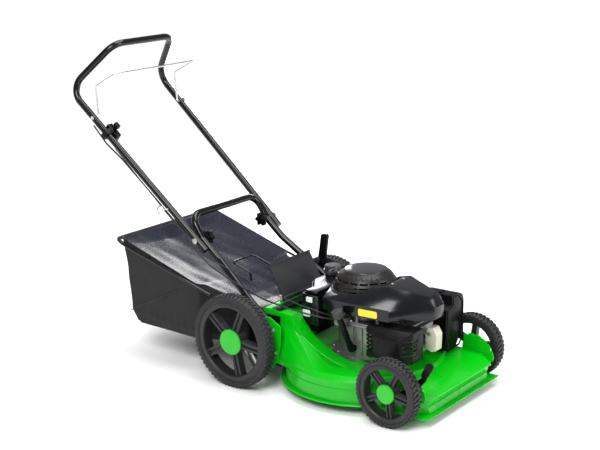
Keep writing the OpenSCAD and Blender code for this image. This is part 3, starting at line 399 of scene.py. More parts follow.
FINISH = {
    "green_paint": finish("green_paint", (0.0, 0.4, 0.004), (0.0, 0.33, 0.003), 0.26, 0.06, mottle=6, amount=0.4,
                          grain=260, depth=0.03, coat=0.25, coat_roughness=0.06, shine=0.25),
    "dark_green_paint": finish("dark_green_paint", (0.0, 0.2, 0.008), None, 0.4, coat=0.2),
    "zinc": finish("zinc", (0.55, 0.55, 0.53), (0.38, 0.38, 0.35), 0.28, 0.15, 1.0, 40, grain=900, depth=0.1),
    "chrome_wire": finish("chrome_wire", (0.78, 0.79, 0.8), (0.6, 0.61, 0.62), 0.12, 0.1, 1.0, 30, depth=0.03),
    "black_tube": finish("black_tube", (0.002, 0.002, 0.003), (0.004, 0.004, 0.005), 0.13, 0.04, grain=420,
                         depth=0.01, shine=0.35),
    "tyre_rubber": finish("tyre_rubber", (0.015, 0.015, 0.017), (0.028, 0.027, 0.026), 0.55, 0.15, mottle=40,
                          grain=1100, depth=0.2, shine=0.35),
    "wheel_plastic": finish("wheel_plastic", (0.013, 0.013, 0.015), (0.024, 0.023, 0.023), 0.38, 0.14, mottle=30,
                            grain=1300, depth=0.14, shine=0.35),
    "green_plastic": finish("green_plastic", (0.015, 0.42, 0.015), (0.012, 0.36, 0.012), 0.26, 0.08, grain=900,
                            depth=0.05, coat=0.1, shine=0.3),
    "black_plastic": finish("black_plastic", (0.003, 0.003, 0.004), (0.006, 0.006, 0.006), 0.26, 0.12, mottle=30,
                            grain=1400, depth=0.08, shine=0.12),
    "shroud_plastic": finish("shroud_plastic", (0.002, 0.0025, 0.004), (0.005, 0.005, 0.007), 0.16, 0.08, mottle=12,
                             grain=1200, depth=0.04, coat=0.1, coat_roughness=0.1, shine=0.3),
    "recoil_plastic": finish("recoil_plastic", (0.008, 0.0075, 0.007), (0.014, 0.012, 0.011), 0.34, 0.12, grain=1500,
                             depth=0.15, shine=0.3),
    "charcoal_plate": finish("charcoal_plate", (0.011, 0.0115, 0.013), (0.018, 0.018, 0.021), 0.45, 0.12, grain=900,
                             depth=0.15, shine=0.3),
    "grey_plastic": finish("grey_plastic", (0.03, 0.03, 0.034), (0.05, 0.05, 0.05), 0.42, 0.12, grain=1300,
                           depth=0.15, shine=0.35),
    "cast_aluminium": finish("cast_aluminium", (0.27, 0.275, 0.26), (0.14, 0.145, 0.13), 0.4, 0.2, 0.8, 30, 0.8,
                             700, 0.6),
    "cast_iron": finish("cast_iron", (0.09, 0.09, 0.09), (0.13, 0.11, 0.1), 0.6, 0.2, 0.7, 30, grain=500, depth=0.5),
    "blade_steel": finish("blade_steel", (0.33, 0.34, 0.35), (0.2, 0.2, 0.2), 0.3, 0.2, 1.0, 22, grain=160,
                          depth=0.3, stretch=(1, 8, 8)),
    "cable_sheath": finish("cable_sheath", (0.004, 0.004, 0.005), None, 0.34, 0.1, grain=900, depth=0.1, shine=0.35),
    "rope": finish("rope", (0.7, 0.7, 0.66), (0.5, 0.5, 0.46), 0.7, 0.1, grain=1800, depth=0.8, sheen=0.2),
    "ivory_plastic": finish("ivory_plastic", (0.55, 0.53, 0.44), (0.45, 0.42, 0.33), 0.42, 0.1, mottle=30,
                            grain=900, depth=0.1),
    "hot_steel": finish("hot_steel", (0.06, 0.058, 0.055), (0.12, 0.08, 0.06), 0.55, 0.2, 0.6, 25, 0.7, 500, 0.3),
    "coated_cloth": cloth_finish("coated_cloth", (0.003, 0.004, 0.012), (0.007, 0.009, 0.022), 260.0, 0.26, 0.08,
                                 shine=0.22),
    "mesh_cloth": cloth_finish("mesh_cloth", (0.008, 0.008, 0.009), (0.05, 0.05, 0.052), 120.0, 0.6, 0.9,
                               shine=0.15),
    "label_yellow": finish("label_yellow", (0.8, 0.66, 0.01), (0.72, 0.58, 0.01), 0.3, 0.05, depth=0.02, coat=0.3),
    "label_white": finish("label_white", (0.75, 0.76, 0.74), (0.68, 0.69, 0.67), 0.3, 0.05, depth=0.02, coat=0.3),
    "disc_gloss": finish("disc_gloss", (0.006, 0.007, 0.01), (0.01, 0.012, 0.016), 0.14, 0.05, grain=500,
                         depth=0.02, coat=0.3, coat_roughness=0.06),
    "cloth_sleeve": finish("cloth_sleeve", (0.005, 0.006, 0.015), (0.012, 0.014, 0.026), 0.3, 0.15, mottle=60,
                           grain=500, depth=0.6),
}
BODY_OF = {node: body for body, nodes in frame["record"]["behaviour"]["bodies"].items() for node in nodes}
SLOT_OF = {s["node"]: s["material_slot"] for s in frame["record"]["subparts"]}


def paint(piece, slot, body, finish_name=None):
    """The piece takes the finish of that slot and rides on the body."""
    piece.data.materials.clear()
    piece.data.materials.append(FINISH[finish_name or slot])
    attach(piece, body)
    return piece


def node_copy(node, name, width=0.8, segments=2, angle=30):
    return paint(pressed_copy(node, name, width, segments, angle), SLOT_OF[node], BODY_OF[node])


# ---- camera and studio ----
CAMERA_AT = (2.331, -2.927, 1.436)
CAMERA_YAW, CAMERA_PITCH, CAMERA_ROLL = 2.2291, -0.2579, -0.0202
LENS = 74.7


def make_camera():
    deselect()
    bpy.ops.object.camera_add(location=CAMERA_AT)
    camera = bpy.context.object
    camera.name = "viewpoint"
    ahead = Vector((math.cos(CAMERA_PITCH) * math.cos(CAMERA_YAW), math.cos(CAMERA_PITCH) * math.sin(CAMERA_YAW),
                    math.sin(CAMERA_PITCH)))
    level = ahead.to_track_quat("-Z", "Y").to_matrix()
    camera.rotation_euler = (level @ Matrix.Rotation(CAMERA_ROLL, 3, "Z")).to_euler()
    camera.data.lens = LENS
    camera.data.sensor_width = 36
    bpy.context.scene.camera = camera


def area_light(name, place, target, size, power, seen=True):
    deselect()
    bpy.ops.object.light_add(type="AREA", location=place)
    light = bpy.context.object
    light.name = name
    light.data.shape = "RECTANGLE"
    light.data.size, light.data.size_y = size
    light.data.energy = power
    light.visible_camera = seen
    light.rotation_euler = (Vector(target) - Vector(place)).to_track_quat("-Z", "Y").to_euler()


def make_studio():
    deselect()
    bpy.ops.mesh.primitive_circle_add(vertices=96, radius=3.0, fill_type="NGON", location=(0, 0, 0))
    floor = bpy.context.object
    floor.name = "studio_floor"
    paper = finish("floor_paper", (0.95, 0.95, 0.95), (0.93, 0.93, 0.93), 0.8, 0.05, mottle=1.0, grain=200, depth=0.02)
    tree = paper.node_tree
    place, away = tree.nodes.new("ShaderNodeTexCoord"), tree.nodes.new("ShaderNodeVectorMath")
    away.operation = "LENGTH"
    tree.links.new(place.outputs["Object"], away.inputs[0])
    glow = tree.nodes.new("ShaderNodeMapRange")
    glow.inputs["From Min"].default_value, glow.inputs["From Max"].default_value = 1.1, 2.4
    glow.inputs["To Max"].default_value = 0.4
    tree.links.new(away.outputs["Value"], glow.inputs["Value"])
    shader = tree.nodes["Principled BSDF"]
    tree.links.new(glow.outputs["Result"], shader.inputs["Emission Color"])
    shader.inputs["Emission Strength"].default_value = 1.0
    floor.data.materials.append(paper)
    world = bpy.data.worlds.new("studio")
    bpy.context.scene.world = world
    bpy.context.scene.view_settings.view_transform = "Standard"
    world.use_nodes = True
    tree = world.node_tree
    sky, height = tree.nodes.new("ShaderNodeTexCoord"), tree.nodes.new("ShaderNodeSeparateXYZ")
    tree.links.new(sky.outputs["Generated"], height.inputs["Vector"])
    below = math_node(tree, "LESS_THAN", height.outputs["Z"], -0.01)
    tree.links.new(math_node(tree, "ADD", math_node(tree, "MULTIPLY", below, 0.65), 0.38),
                   tree.nodes["Background"].inputs["Strength"])
    tree.nodes["Background"].inputs["Color"].default_value = (1, 1, 1, 1)
    area_light("key_light", (1.2, -3.2, 3.4), (0, 0, 0.3), (2.0, 2.0), 170)
    area_light("top_light", (0.2, 0.6, 3.6), (0.1, 0, 0.2), (3.0, 2.2), 130)
    area_light("bag_light", (-1.04, 1.19, 0.79), (-0.3, -0.12, 0.33), (0.6, 0.3), 5, False)
    area_light("front_light", (3.4, 1.0, 1.6), (0.3, 0, 0.2), (1.4, 1.6), 60)


make_camera()
make_studio()

# ---- wheels ----
WHEELBASE = 547
REAR = {"at": (0, 249, 145), "r": 145, "w": 44, "open": 106.6, "cap": 40, "lugs": 62, "lug": 4, "slant": 9}
FRONT = {"at": (WHEELBASE, 235, 100), "r": 100, "w": 40, "open": 71.1, "cap": 28.5, "lugs": 44, "lug": 5, "slant": 8}


def tread_lug(size, half, phase):
    """One slanted tread bar, on one half of the tyre."""
    r, w = size["r"], size["w"]
    long = math.pi * (r - size["lug"]) / size["lugs"]
    low, high = (0.5, w / 2 - 1.5) if half > 0 else (-w / 2 + 1.5, -0.5)
    piece = block("tread_lug", (-long * 0.58, low, r - size["lug"] - 2.5), (long * 0.58, high, r - 0.3), 0.7, 1)
    slant = math.tan(math.radians(size["slant"] * 2.4))
    for vertex in piece.data.vertices:
        x, y, z = vertex.co
        vertex.co.x += (abs(y) - w / 4 * MM) * slant
        edge = abs(y) / MM - (w / 2 - 6)
        if edge > 0 and z > (r - size["lug"]) * MM:
            vertex.co.z -= edge * 0.28 * MM
    piece.data.transform(Matrix.Rotation(phase, 4, "Y"))
    return piece


def make_tyre(size, name):
    r, w, step = size["r"], size["w"], size["lug"]
    bead = r * 0.86
    profile = [(bead, -w / 2 + 3), (bead + 1.5, -w / 2 + 0.8), (bead + 4, -w / 2 + 0.2), (bead + 6, -w / 2 + 1.6),
               (bead + 7.5, -w / 2 + 1.6), (bead + 9, -w / 2), (r - step - 5, -w / 2), (r - step - 1.5, -w / 2 + 2),
               (r - step, -w / 2 + 5)]
    profile += [(a, -b) for a, b in reversed(profile)]
    profile += [(bead, -w / 2 + 3)]
    tyre = turned("tyre", profile, (0, 0, 0), "Y", 120)
    lugs = []
    for half in (1, -1):
        first = tread_lug(size, half, 0)
        turn = 2 * math.pi / size["lugs"]
        lugs += [copy_of(first, "lug", Matrix.Rotation(turn * (k + (0.5 if half < 0 else 0)), 4, "Y"))
                 for k in range(size["lugs"])]
        bpy.data.objects.remove(first)
    return joined([tyre] + lugs, name)


def make_wheels():
    for size, end in ((REAR, "rear"), (FRONT, "front")):
        tyre = make_tyre(size, end + "_tyre_pattern")
        for side, word in ((RIGHT, "right"), (LEFT, "left")):
            x, y, z = size["at"]
            place = Matrix.Translation(metres((x, side * y, z)))
            wheel, body = f"{end}_{word}", f"{end}_{word}_wheel"
            own = copy_of(tyre, wheel + "_treaded_tyre", place)
            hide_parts(wheel + "_tyre")
            paint(own, "tyre_rubber", body)
            node_copy(wheel + "_rim", wheel + "_spoked_rim", 0.9, 2)
            w, cap = size["w"], size["cap"]
            dome = turned(wheel + "_hub_dome",
                          [(0, w / 2 - 7), (cap - 1, w / 2 - 7), (cap, w / 2 - 6), (cap, w / 2 - 3.4),
                           (cap - 1, w / 2 - 2),
                           (cap * 0.9, w / 2 - 1.4), (cap * 0.72, w / 2 - 0.6), (cap * 0.4, w / 2 - 0.1), (0, w / 2)],
                          (0, 0, 0), "Y", 64)
            if side == RIGHT:
                dome.data.transform(Matrix.Rotation(math.pi, 4, "X"))
            dome.data.transform(place)
            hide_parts(wheel + "_cap")
            paint(dome, "green_plastic", body)
        bpy.data.objects.remove(tyre)


make_wheels()

# ---- handle ----
TUBE_R = 11
FOLD = (-194, 413)
LEG_END, BEND, CROSSBAR = (-161, 181, 385), (-703, 206, 848), (-565, 133, 994)
HANDLE_FOOT, HOOP_TOP, HOOP_Y = (92, 183, 196), (-240, 158, 482), 158


def leg(x):
    """Side and height of an upper handle leg's middle at x."""
    share = (x - LEG_END[0]) / (BEND[0] - LEG_END[0])
    return tuple(a + (b - a) * share for a, b in zip(LEG_END[1:], BEND[1:]))


def mirrored(points):
    return list(points) + [(x, -y, z) for x, y, z in reversed(points)]


def make_handle():
    upper = bar("upper_handle_tube", eased(mirrored([LEG_END, BEND, CROSSBAR]), 55, 10), TUBE_R, 24)
    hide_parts("upper_handle")
    paint(upper, "black_tube", "upper_handle")
    lower_path = [HANDLE_FOOT, (20, 183, 249), (FOLD[0] + 66, HOOP_Y, FOLD[1] - 56),
                  (FOLD[0], HOOP_Y, FOLD[1]), HOOP_TOP]
    lower = bar("lower_handle_tube", eased(mirrored(lower_path), 40, 8), TUBE_R, 24)
    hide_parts("lower_handle")
    paint(lower, "black_tube", "chassis")
    pivot, bail_y = (-598, 764), leg(-598)[0] - TUBE_R - 6
    out = leg(-598)[0] + TUBE_R + 4
    wire = bar("bail_wire", eased(mirrored([(pivot[0], out, pivot[1]), (pivot[0], bail_y, pivot[1]),
                                            (-604, bail_y, 862), (-513, bail_y, 908)]), 9, 6), 3, 16)
    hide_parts("bail")
    paint(wire, "chrome_wire", "bail")
    side, height = leg(-298)
    start = Vector((-298, -side - TUBE_R, height))
    loop = [start, start + Vector((0, -4, 0))]
    loop += [start + Vector((-16 + 11 * math.cos(math.radians(a)), -14 - 0.03 * a, 11 * math.sin(math.radians(a))))
             for a in range(0, 301, 15)]
    guide = bar("rope_guide_wire", eased(loop, 4, 3), 2.2, 12)
    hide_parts("rope_guide")
    paint(guide, "zinc", "upper_handle")
    for node, name, width in (("throttle_housing", "throttle_clamp", 1.6), ("throttle_lever", "throttle_thumb", 1.6),
                              ("right_knob", "right_star_knob", 1.4), ("left_knob", "left_star_knob", 1.4),
                              ("pivot_bolts", "handle_bolts", 0.7)):
        node_copy(node, name, width, 3)
    for side, word in ((RIGHT, "right"), (LEFT, "left")):
        y, z = leg(-194)
        head = turned(f"{word}_fold_bolt_head", [(0, 0), (7, 0), (7, 1.2), (6, 3), (3.6, 4.2), (0, 4.6)],
                      (FOLD[0], side * (y + TUBE_R + 1), FOLD[1]), (0, side, 0), 32)
        paint(head, "zinc", "chassis")
        y, z = leg(-598)
        washer = turned(f"{word}_bail_washer", [(3.2, 0), (7, 0), (7, 1.2), (3.2, 1.2), (3.2, 0)],
                        (pivot[0], side * (y + TUBE_R + 1), pivot[1]), (0, side, 0), 24)
        paint(washer, "zinc", "upper_handle")


make_handle()

# ---- cables ----
def near_leg(x, out, below):
    y, z = leg(x)
    return x, -y - out, z - below


CABLE_PATHS = {
    "throttle": [near_leg(x, 13 + 16 * (x + 226) / 294, 22) for x in (-520, -420, -320, -226)]
    + [(-214, -195.8, 398), (-150, -196, 372), (-60, -192, 344), (40, -188, 312), (120, -178, 288), (190, -162, 268),
       (244, -142, 252), (279, -117, 236)],
    "brake": [near_leg(-594, 12, 14), near_leg(-548, 6, 31), near_leg(-480, 11, 15), near_leg(-320, 11, 13),
              near_leg(-226, 12, 13)]
    + [(-214, -201, 411), (-140, -202, 354), (-70, -200, 322), (0, -196, 296), (70, -189, 272), (140, -175, 256),
       (206, -156, 243), (252, -135, 233), (279, -112, 228)],
}


def length_of(points):
    return sum((Vector(b) - Vector(a)).length for a, b in zip(points, points[1:]))


def make_cables():
    for name, points in CABLE_PATHS.items():
        radius = {"throttle": 1.6, "brake": 2.5}[name]
        path = eased(points, 60, 4)
        cable = bar(name + "_cable", path, radius, 12)
        if name == "brake":
            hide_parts("handle_cables", "engine_cables")
        cable.data.materials.append(FINISH["cable_sheath"])
        metres((-160, -190, 380))
        metres((-240, -190, 440))
        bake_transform(cable)
        metres(path[0])
        round(length_of(path) * MM, 3)
        [metres(p) for p in path]


make_cables()

# ---- deck ----
CRANK_X, SKIRT_R, RIM_R, RIM_Z = 312, 246, 262, 28
NOSE_X, NOSE_HALF = 655, 190


def ring_path(radius, height, start, end, steps=60):
    return [(CRANK_X + radius * math.cos(math.radians(start + (end - start) * k / steps)),
             radius * math.sin(math.radians(start + (end - start) * k / steps)), height) for k in range(steps + 1)]


def screw(name, place, axis, radius=5.0, head=3.0, sides=32):
    """A round screw head with a turned edge and a hollow in its top."""
    return turned(name, [(0, 0), (radius, 0), (radius, head * 0.5), (radius * 0.8, head * 0.9),
                         (radius * 0.45, head), (radius * 0.4, head * 0.5), (0, head * 0.5)], place, axis, sides)


def make_deck():
    node_copy("deck_shell", "deck_pressing", 2.2, 4, 24)
    for node, name, width in (("deck_baffle", "deck_baffle_plate", 0.6), ("rear_brackets", "rear_bracket_plates", 1.0),
                              ("front_brackets", "front_notched_plates", 1.0), ("rear_flap", "rear_flap_plate", 1.0),
                              ("flap_rod", "flap_hinge_rod", 0.6), ("rear_axle", "rear_axle_rod", 0.8),
                              ("front_axle", "front_axle_rod", 0.8), ("rear_lever", "rear_height_lever", 1.2),
                              ("front_lever", "front_height_lever", 1.0), ("rear_lever_grip", "rear_lever_handle", 3.0),
                              ("front_lever_grip", "front_lever_handle", 2.4)):
        node_copy(node, name, width, 3)
    for side, word in ((RIGHT, "right"), (LEFT, "left")):
        y = sorted((side * 209.1, side * 210.6))
        guard = block(word + "_wheel_guard", (26, y[0], 96), (100, y[1], 214), 0.5, 2)
        paint(guard, "black_plastic", "chassis")
        y = sorted((side * 171.0, side * 172.4))
        panel = block(word + "_tunnel_panel", (44, y[0], 62), (118, y[1], 222), 0.5, 2)
        paint(panel, "black_plastic", "chassis")
    cover = block("tunnel_top_cover", (84, -167, 240.3), (116, 167, 242.3), 0.6, 2)
    paint(cover, "black_plastic", "chassis")
    gap = 40
    rim = bar("deck_rolled_rim", ring_path(RIM_R - 2.5, RIM_Z + 1.5, gap, 360 - gap, 110), 2.6, 12)
    bead = bar("deck_skirt_bead", ring_path(SKIRT_R + 0.4, 72, gap + 8, 352 - gap, 110), 1.8, 12)
    lip_half, lip_z = NOSE_HALF + 12.5, RIM_Z + 1.6
    lip = bar("deck_nose_lip", eased([(NOSE_X - 120, -lip_half, lip_z), (NOSE_X - 4, -lip_half, lip_z),
                                      (NOSE_X - 4, lip_half, lip_z), (NOSE_X - 120, lip_half, lip_z)], 8, 4), 2.4, 12)
    ridge = bar("deck_nose_ridge", [(NOSE_X - 56, -NOSE_HALF, 94), (NOSE_X + 1, -NOSE_HALF + 44, 86),
                                    (NOSE_X + 1, NOSE_HALF - 44, 86), (NOSE_X - 56, NOSE_HALF, 94)], 2.6, 12)
    fold = bar("deck_tower_ridge", eased([(160, -170, 232), (172, -170, 210), (200, -170, 176), (242, -170, 147),
                                          (292, -170, 125), (342, -170, 111)], 60, 6), 2.0, 12)
    trims = joined([rim, bead, lip, ridge, fold], "deck_beads")
    paint(trims, "green_paint", "chassis")
    screws = []
    for k, (x, y) in enumerate(((604, -120), (604, 120), (470, -178), (470, 178))):
        height = 99 - (x - 547) * 0.13 if x > 547 else 104.5 - (x - 402) * 0.055
        screws.append(screw("deck_screw", (x, y, height - 0.6), (0, 0, 1), 5.5, 3))
    for x, z in ((120, 190), (128, 120), (60, 215), (52, 110)):
        for side in (RIGHT, LEFT):
            screws.append(screw("plate_screw", (x, side * 208.9, z), (0, side, 0), 5.0, 3))
    paint(joined(screws, "deck_screws"), "zinc", "chassis")


make_deck()

# ---- engine ----
RECOIL_Z, RECOIL_TOP = 301, 362


def make_engine():
    for node, name, width, segments in (
            ("engine_shroud", "engine_shroud_shell", 5.0, 5), ("recoil_cover", "recoil_dome", 0.7, 2),
            ("crankcase", "crankcase_casting", 1.6, 3), ("cylinder_barrel", "cylinder_fins", 0.7, 2),
            ("piston", "piston_body", 0.5, 1), ("crankshaft", "crankshaft_forging", 0.8, 2),
            ("flywheel", "flywheel_casting", 0.8, 2), ("blade", "blade_plate", 0.5, 1),
            ("blade_bolt", "blade_bolt_head", 0.7, 2), ("starter_grip", "starter_tee_grip", 2.0, 3),
            ("starter_rope", "starter_rope_end", 0.0, 1), ("fuel_tank", "fuel_tank_moulding", 5.0, 4),
            ("fuel_cap", "fuel_cap_ribbed", 1.2, 2), ("air_filter_box", "air_filter_back", 2.5, 3),
            ("air_filter_cover", "air_filter_lid", 6.0, 4), ("muffler", "muffler_can", 2.0, 3),
            ("muffler_guard", "muffler_cage", 1.6, 3), ("spark_plug", "spark_plug_body", 0.6, 2),
            ("plug_boot", "plug_cover", 4.0, 4), ("oil_tube", "oil_filler_tube", 0.8, 2),
            ("dipstick", "oil_cap", 1.5, 3), ("engine_bolts", "deck_to_engine_bolts", 0.7, 2)):
        node_copy(node, name, width, segments)
    disc = turned("recoil_disc", [(0, RECOIL_TOP - 4), (60, RECOIL_TOP - 4), (63, RECOIL_TOP - 1.2),
                                  (62, RECOIL_TOP + 0.6), (58, RECOIL_TOP + 1.4), (40, RECOIL_TOP + 2.4),
                                  (20, RECOIL_TOP + 3), (0, RECOIL_TOP + 3.1)],
                  (CRANK_X, 0, 0), "Z", 96)
    paint(disc, "shroud_plastic", "chassis", "disc_gloss")
    screws = []
    for angle in (-55, -35, 30, 75, 150, 210):
        a = math.radians(angle)
        screws.append(screw("dome_screw", (CRANK_X + 92 * math.cos(a), 92 * math.sin(a), RECOIL_Z + 14),
                            (0.5 * math.cos(a), 0.5 * math.sin(a), 0.86), 4.6, 3.4))
    for y in (-30, 30):
        screws.append(screw("shroud_screw", (426, y, 341.5), (0, 0, 1), 4.2, 2.6))
    for x in (326, 414):
        for side in (RIGHT, LEFT):
            screws.append(screw("case_screw", (x, side * 97, 226), (0, 0, 1), 5.0, 4.5))
    for angle in (-150, -115, -75, -20, 25, 70, 110, 155):
        a = math.radians(angle)
        screws.append(screw("flange_screw", (CRANK_X + 98 * math.cos(a), 98 * math.sin(a), 117), (0, 0, 1), 4.5, 4))
    paint(joined(screws, "engine_screws"), "zinc", "chassis")
    ribs = []
    for x in (336, 366, 396):
        ribs.append(block("case_rib", (x - 2, -104.5, 130), (x + 2, -99, 214), 1.2, 2))
        ribs.append(block("case_rib", (x - 2, 99, 130), (x + 2, 104.5, 214), 1.2, 2))
    ribs.append(block("case_shelf", (322, -106, 158), (414, -99, 163), 1.5, 2))
    for angle in range(0, 360, 30):
        a = math.radians(angle + 12)
        lug = block("flange_lug", (98, -7, 108.4), (110, 7, 118.6), 2, 2)
        lug.data.transform(Matrix.Rotation(a, 4, "Z"))
        lug.data.transform(Matrix.Translation(metres((CRANK_X, 0, 0))))
        ribs.append(lug)
    paint(joined(ribs, "crankcase_ribs"), "cast_aluminium", "chassis")
    tank = [block("tank_rib", (201, -122.2, 204), (207, -118, 282), 1.9, 3)]
    tank += [block("tank_rib", (115.8, y - 3, 204), (120, y + 3, 282), 1.9, 3) for y in range(4, 104, 17)]
    seam_plan = ((117.4, 112.6), (117.4, -10), (159.4, -66), (159.4, -120.6), (223, -120.6))
    tank.append(bar("tank_seam", eased([(x, y, 244) for x, y in seam_plan], 8, 5), 2.0, 12))
    paint(joined(tank, "fuel_tank_ribs"), "shroud_plastic", "chassis")
    edge = [(533.6, y, z) for y, z in ((103, 130), (114, 117), (170, 117), (191, 139), (191, 250), (168, 273),
                                       (136, 273), (136, 247), (103, 241), (103, 130))]
    rim = bar("air_filter_rim", eased(edge, 9, 5), 2.6, 12)
    paint(rim, "black_plastic", "air_filter_cover")
    clips = [block("filter_clip", (479, 196.5, z - 9), (506, 200.5, z + 9), 1.4, 3) for z in (160, 236)]
    paint(joined(clips, "air_filter_clips"), "zinc", "air_filter_cover")
    bracket = [block("plug_bracket", (534.4, -24, 176), (538.4, -17.3, 214), 1.2, 2),
               block("plug_bracket", (526, -25, 206), (553, -21.5, 214), 1.2, 2)]
    paint(joined(bracket, "plug_bracket"), "zinc", "chassis")


def label(name, corners, lift, finish_name, slot):
    """A plain sticker with rounded corners, a little proud of its panel."""
    a, b, c, d = (Vector(p) for p in corners)
    normal = (b - a).cross(d - a).normalized()
    outline = eased([(a + b) / 2, b, c, d, a, (a + b) / 2], 5, 5)[:-1]
    count = len(outline)
    vertices = [p + normal * lift for p in outline] + [p - normal * 0.8 for p in outline]
    faces = [tuple(range(count)), tuple(range(2 * count - 1, count - 1, -1))]
    faces += [(k, k + count, (k + 1) % count + count, (k + 1) % count) for k in range(count)]
    piece = mesh_piece(name, vertices, faces)
    in_edit(piece, outward)
    rounded_edges(piece, 0.25, 2, 50)
    return paint(piece, slot, "chassis", finish_name)


make_engine()
label("shroud_label_plain", [(368, -122.9, 260), (432, -119.9, 260), (432, -119.9, 281), (368, -122.9, 281)], 0.7,
      "label_yellow", "shroud_plastic")
label("tank_label_upper", [(178, -120.2, 266), (204, -120.2, 266), (204, -120.2, 283), (178, -120.2, 283)], 0.8,
      "label_white", "shroud_plastic")
label("tank_label_lower", [(164, -120.2, 220), (192, -120.2, 220), (192, -120.2, 241), (164, -120.2, 241)], 0.8,
      "label_white", "shroud_plastic")

# ---- grass bag ----
BAG_HALF, BAG_BACK, BAG_SIDE_X, NECK_HALF, MOUTH_X, MOUTH_HALF = 227, -492, -167, 204, 37, 150
ROOF = [(-492, 387), (-482, 391), (-167, 291), (-60, 254), (37, 229)]
FLOOR = [(-476, 134), (-466, 118), (-448, 109), (-167, 101), (37, 96)]


def along(points, x):
    for (x0, z0), (x1, z1) in zip(points, points[1:]):
        if x <= x1 or (x1, z1) == points[-1]:
            return z0 + (z1 - z0) * (x - x0) / (x1 - x0)
    return points[-1][1]


def half_width(x):
    if x <= BAG_SIDE_X:
        return BAG_HALF
    if x <= BAG_SIDE_X + 16:
        return BAG_HALF + (NECK_HALF - BAG_HALF) * (x - BAG_SIDE_X) / 16
    return NECK_HALF + (MOUTH_HALF - NECK_HALF) * (x - BAG_SIDE_X - 16) / (MOUTH_X - BAG_SIDE_X - 16)


def folds(x, y, z, scale, seed):
    return noise.noise(Vector((x, y, z)) * scale + Vector((seed, 2 * seed, 0)))


def cut_map(piece, columns, rows):
    """The piece's own UV map holds metres of flat cloth, row by row."""
    layer = piece.data.uv_layers.new(name="cut")
    co = [v.co for v in piece.data.vertices]
    u, v = [0.0] * len(co), [0.0] * len(co)
    for j in range(rows):
        for i in range(1, columns):
            k = j * columns + i
            u[k] = u[k - 1] + (co[k] - co[k - 1]).length
    for i in range(columns):
        for j in range(1, rows):
            k = j * columns + i
            v[k] = v[k - columns] + (co[k] - co[k - columns]).length
    middle = [u[j * columns + columns // 2] for j in range(rows)]
    for loop in piece.data.loops:
        k = loop.vertex_index
        layer.data[loop.index].uv = (u[k] - middle[k // columns] + 1, v[k])


def quilt(name, grid):
    """A sheet of cloth through a grid of points."""
    rows, columns = len(grid), len(grid[0])
    faces = [(j * columns + i, j * columns + i + 1, (j + 1) * columns + i + 1, (j + 1) * columns + i)
             for j in range(rows - 1) for i in range(columns - 1)]
    piece = mesh_piece(name, [p for row in grid for p in row], faces)
    cut_map(piece, columns, rows)
    return piece


def spaced(low, high, count):
    return [low + (high - low) * k / (count - 1) for k in range(count)]


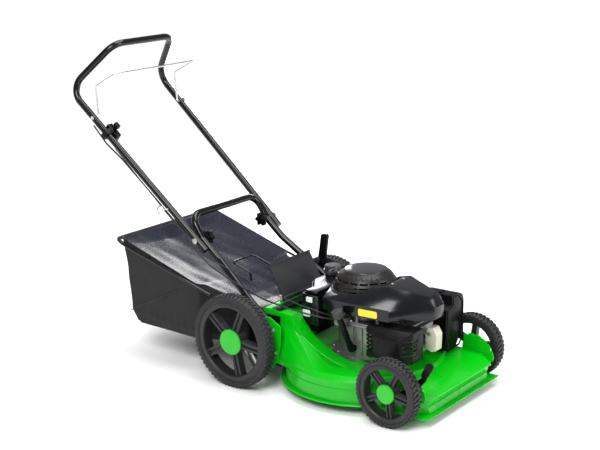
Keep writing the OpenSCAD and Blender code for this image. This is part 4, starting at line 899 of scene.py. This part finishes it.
def make_bag():
    top = []
    for x in spaced(BAG_BACK - 4, MOUTH_X - 1, 150):
        half, height = half_width(x) - 1, along(ROOF, x)
        row = []
        for share in spaced(-1, 1, 110):
            y = share * half
            edge = 1 - abs(share) ** 3
            ends = min(1, max(0, (x - BAG_BACK) / 60)) * min(1, max(0, (MOUTH_X - x) / 50))
            sag = -20.0 * (1 - share * share) * ends
            near = 0.3 + 0.7 * (1 - share) / 2
            crease = 7.0 * folds(x * 0.6, y + 0.35 * x, 0, 0.009, 3) + 2.6 * folds(x * 0.3, y - 0.2 * x, 0, 0.02, 8)
            row.append((x, y, height - 3 + sag + crease * near * edge * ends))
        top.append(row)
    roof = quilt("bag_coated_top", top)
    modify(roof, "SOLIDIFY", thickness=1.4 * MM, offset=-1)
    smooth(roof, 60)
    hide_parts("bag_top")
    paint(roof, "coated_cloth", "grass_bag")
    plan = [(MOUTH_X - 1, -MOUTH_HALF), (BAG_SIDE_X + 16, -NECK_HALF), (BAG_SIDE_X, -BAG_HALF), (BAG_BACK, -BAG_HALF),
            (BAG_BACK, BAG_HALF), (BAG_SIDE_X, BAG_HALF), (BAG_SIDE_X + 16, NECK_HALF), (MOUTH_X - 1, MOUTH_HALF)]
    outline = [Vector(p) for p in eased([(x, y, 0) for x, y in plan], 24, 6)]
    total = length_of(outline)
    around, travelled, wanted = [], 0.0, iter(spaced(0, total - 0.01, 260))
    goal = next(wanted)
    for a, b in zip(outline, outline[1:]):
        step = (b - a).length
        while goal is not None and travelled + step >= goal:
            around.append(a.lerp(b, (goal - travelled) / step if step else 0))
            goal = next(wanted, None)
        travelled += step
    wall, middle = [], Vector((-230, 0, 0))
    for fall in spaced(0, 1, 56):
        row = []
        for p in around:
            inward = (middle - p).normalized()
            if p.x > BAG_SIDE_X:
                inward = Vector((0, -math.copysign(1, p.y), 0))
            high, low = along(ROOF, max(p.x, BAG_BACK + 8)) - 6, along(FLOOR, max(p.x, BAG_BACK + 32))
            z = high + (low - high) * fall
            back = max(0.0, min(1.0, (BAG_BACK + 60 - p.x) / 60))
            hollow = 6.0 * math.sin(math.pi * fall) * (0.5 + 0.5 * folds(p.x, p.y, 0, 0.008, 2))
            pleat = 1.6 * math.sin((p.x + p.y) * 0.21) * max(0.0, fall - 0.45)
            crumple = 3.5 * folds(p.x, p.y, z, 0.02, 6) * math.sin(math.pi * min(1, fall * 1.1))
            tuck = 34 * max(0.0, fall - 0.86) / 0.14 if fall > 0.86 else 0
            q = p + inward * (1.5 + hollow + pleat + crumple + tuck * 0.45) + Vector((back * fall * 34, 0, 0))
            row.append((q.x, q.y, z))
        wall.append(row)
    last = wall[-1]
    half_count = len(last) // 2
    base_rows = []
    for share in spaced(0, 1, 60):
        row = []
        for k in range(half_count):
            a, b = Vector(last[k]), Vector(last[-1 - k])
            q = a.lerp(b, share)
            droop = 4.0 * math.sin(math.pi * share) + 2.0 * folds(q.x, q.y, 0, 0.02, 4) * math.sin(math.pi * share)
            row.append((q.x, q.y, q.z - droop * 0.5))
        base_rows.append(row)
    side = quilt("bag_side_cloth", wall)
    base = quilt("bag_base_cloth", base_rows)
    net = joined([side, base], "bag_net_sides")
    in_edit(net, lambda: bpy.ops.mesh.remove_doubles(threshold=2e-5),
            lambda: bpy.ops.mesh.normals_make_consistent(inside=False))
    modify(net, "SOLIDIFY", thickness=1.2 * MM, offset=-1)
    smooth(net, 60)
    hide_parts("bag_mesh")
    paint(net, "mesh_cloth", "grass_bag")
    edge_path = [(p[0], p[1], p[2] + 1.5) for p in wall[0]]
    piping = bar("bag_top_binding", edge_path, 2.6, 10)
    mouth = bar("bag_mouth_binding", eased([(MOUTH_X - 2, -MOUTH_HALF + 1, 98), (MOUTH_X - 2, -MOUTH_HALF + 1, 227),
                                            (MOUTH_X - 2, MOUTH_HALF - 1, 227), (MOUTH_X - 2, MOUTH_HALF - 1, 98)], 10, 4),
                3, 10)
    cloth_map(piping), cloth_map(mouth)
    bindings = joined([piping, mouth], "bag_bindings")
    paint(bindings, "coated_cloth", "grass_bag", "cable_sheath")
    node_copy("bag_frame", "bag_wire_frame", 0.0)
    wire_y = BAG_HALF + 4
    sleeve = bar("bag_rear_sleeve", eased([(-474, -wire_y, 371), (BAG_BACK - 6, -wire_y, 384),
                                           (BAG_BACK - 6, wire_y, 384), (-474, wire_y, 371)], 14, 6), 6.4, 16)
    paint(sleeve, "coated_cloth", "grass_bag", "cloth_sleeve")
    seam = bar("bag_side_seam", [(-460, -BAG_HALF + 2.5, 148), (-400, -BAG_HALF + 4.5, 178), (-330, -BAG_HALF + 5, 212),
                                 (-250, -BAG_HALF + 2.5, 252)], 1.5, 8)
    paint(seam, "mesh_cloth", "grass_bag", "cloth_sleeve")


def cloth_map(piece):
    piece.data.uv_layers.new(name="cut")


make_bag()
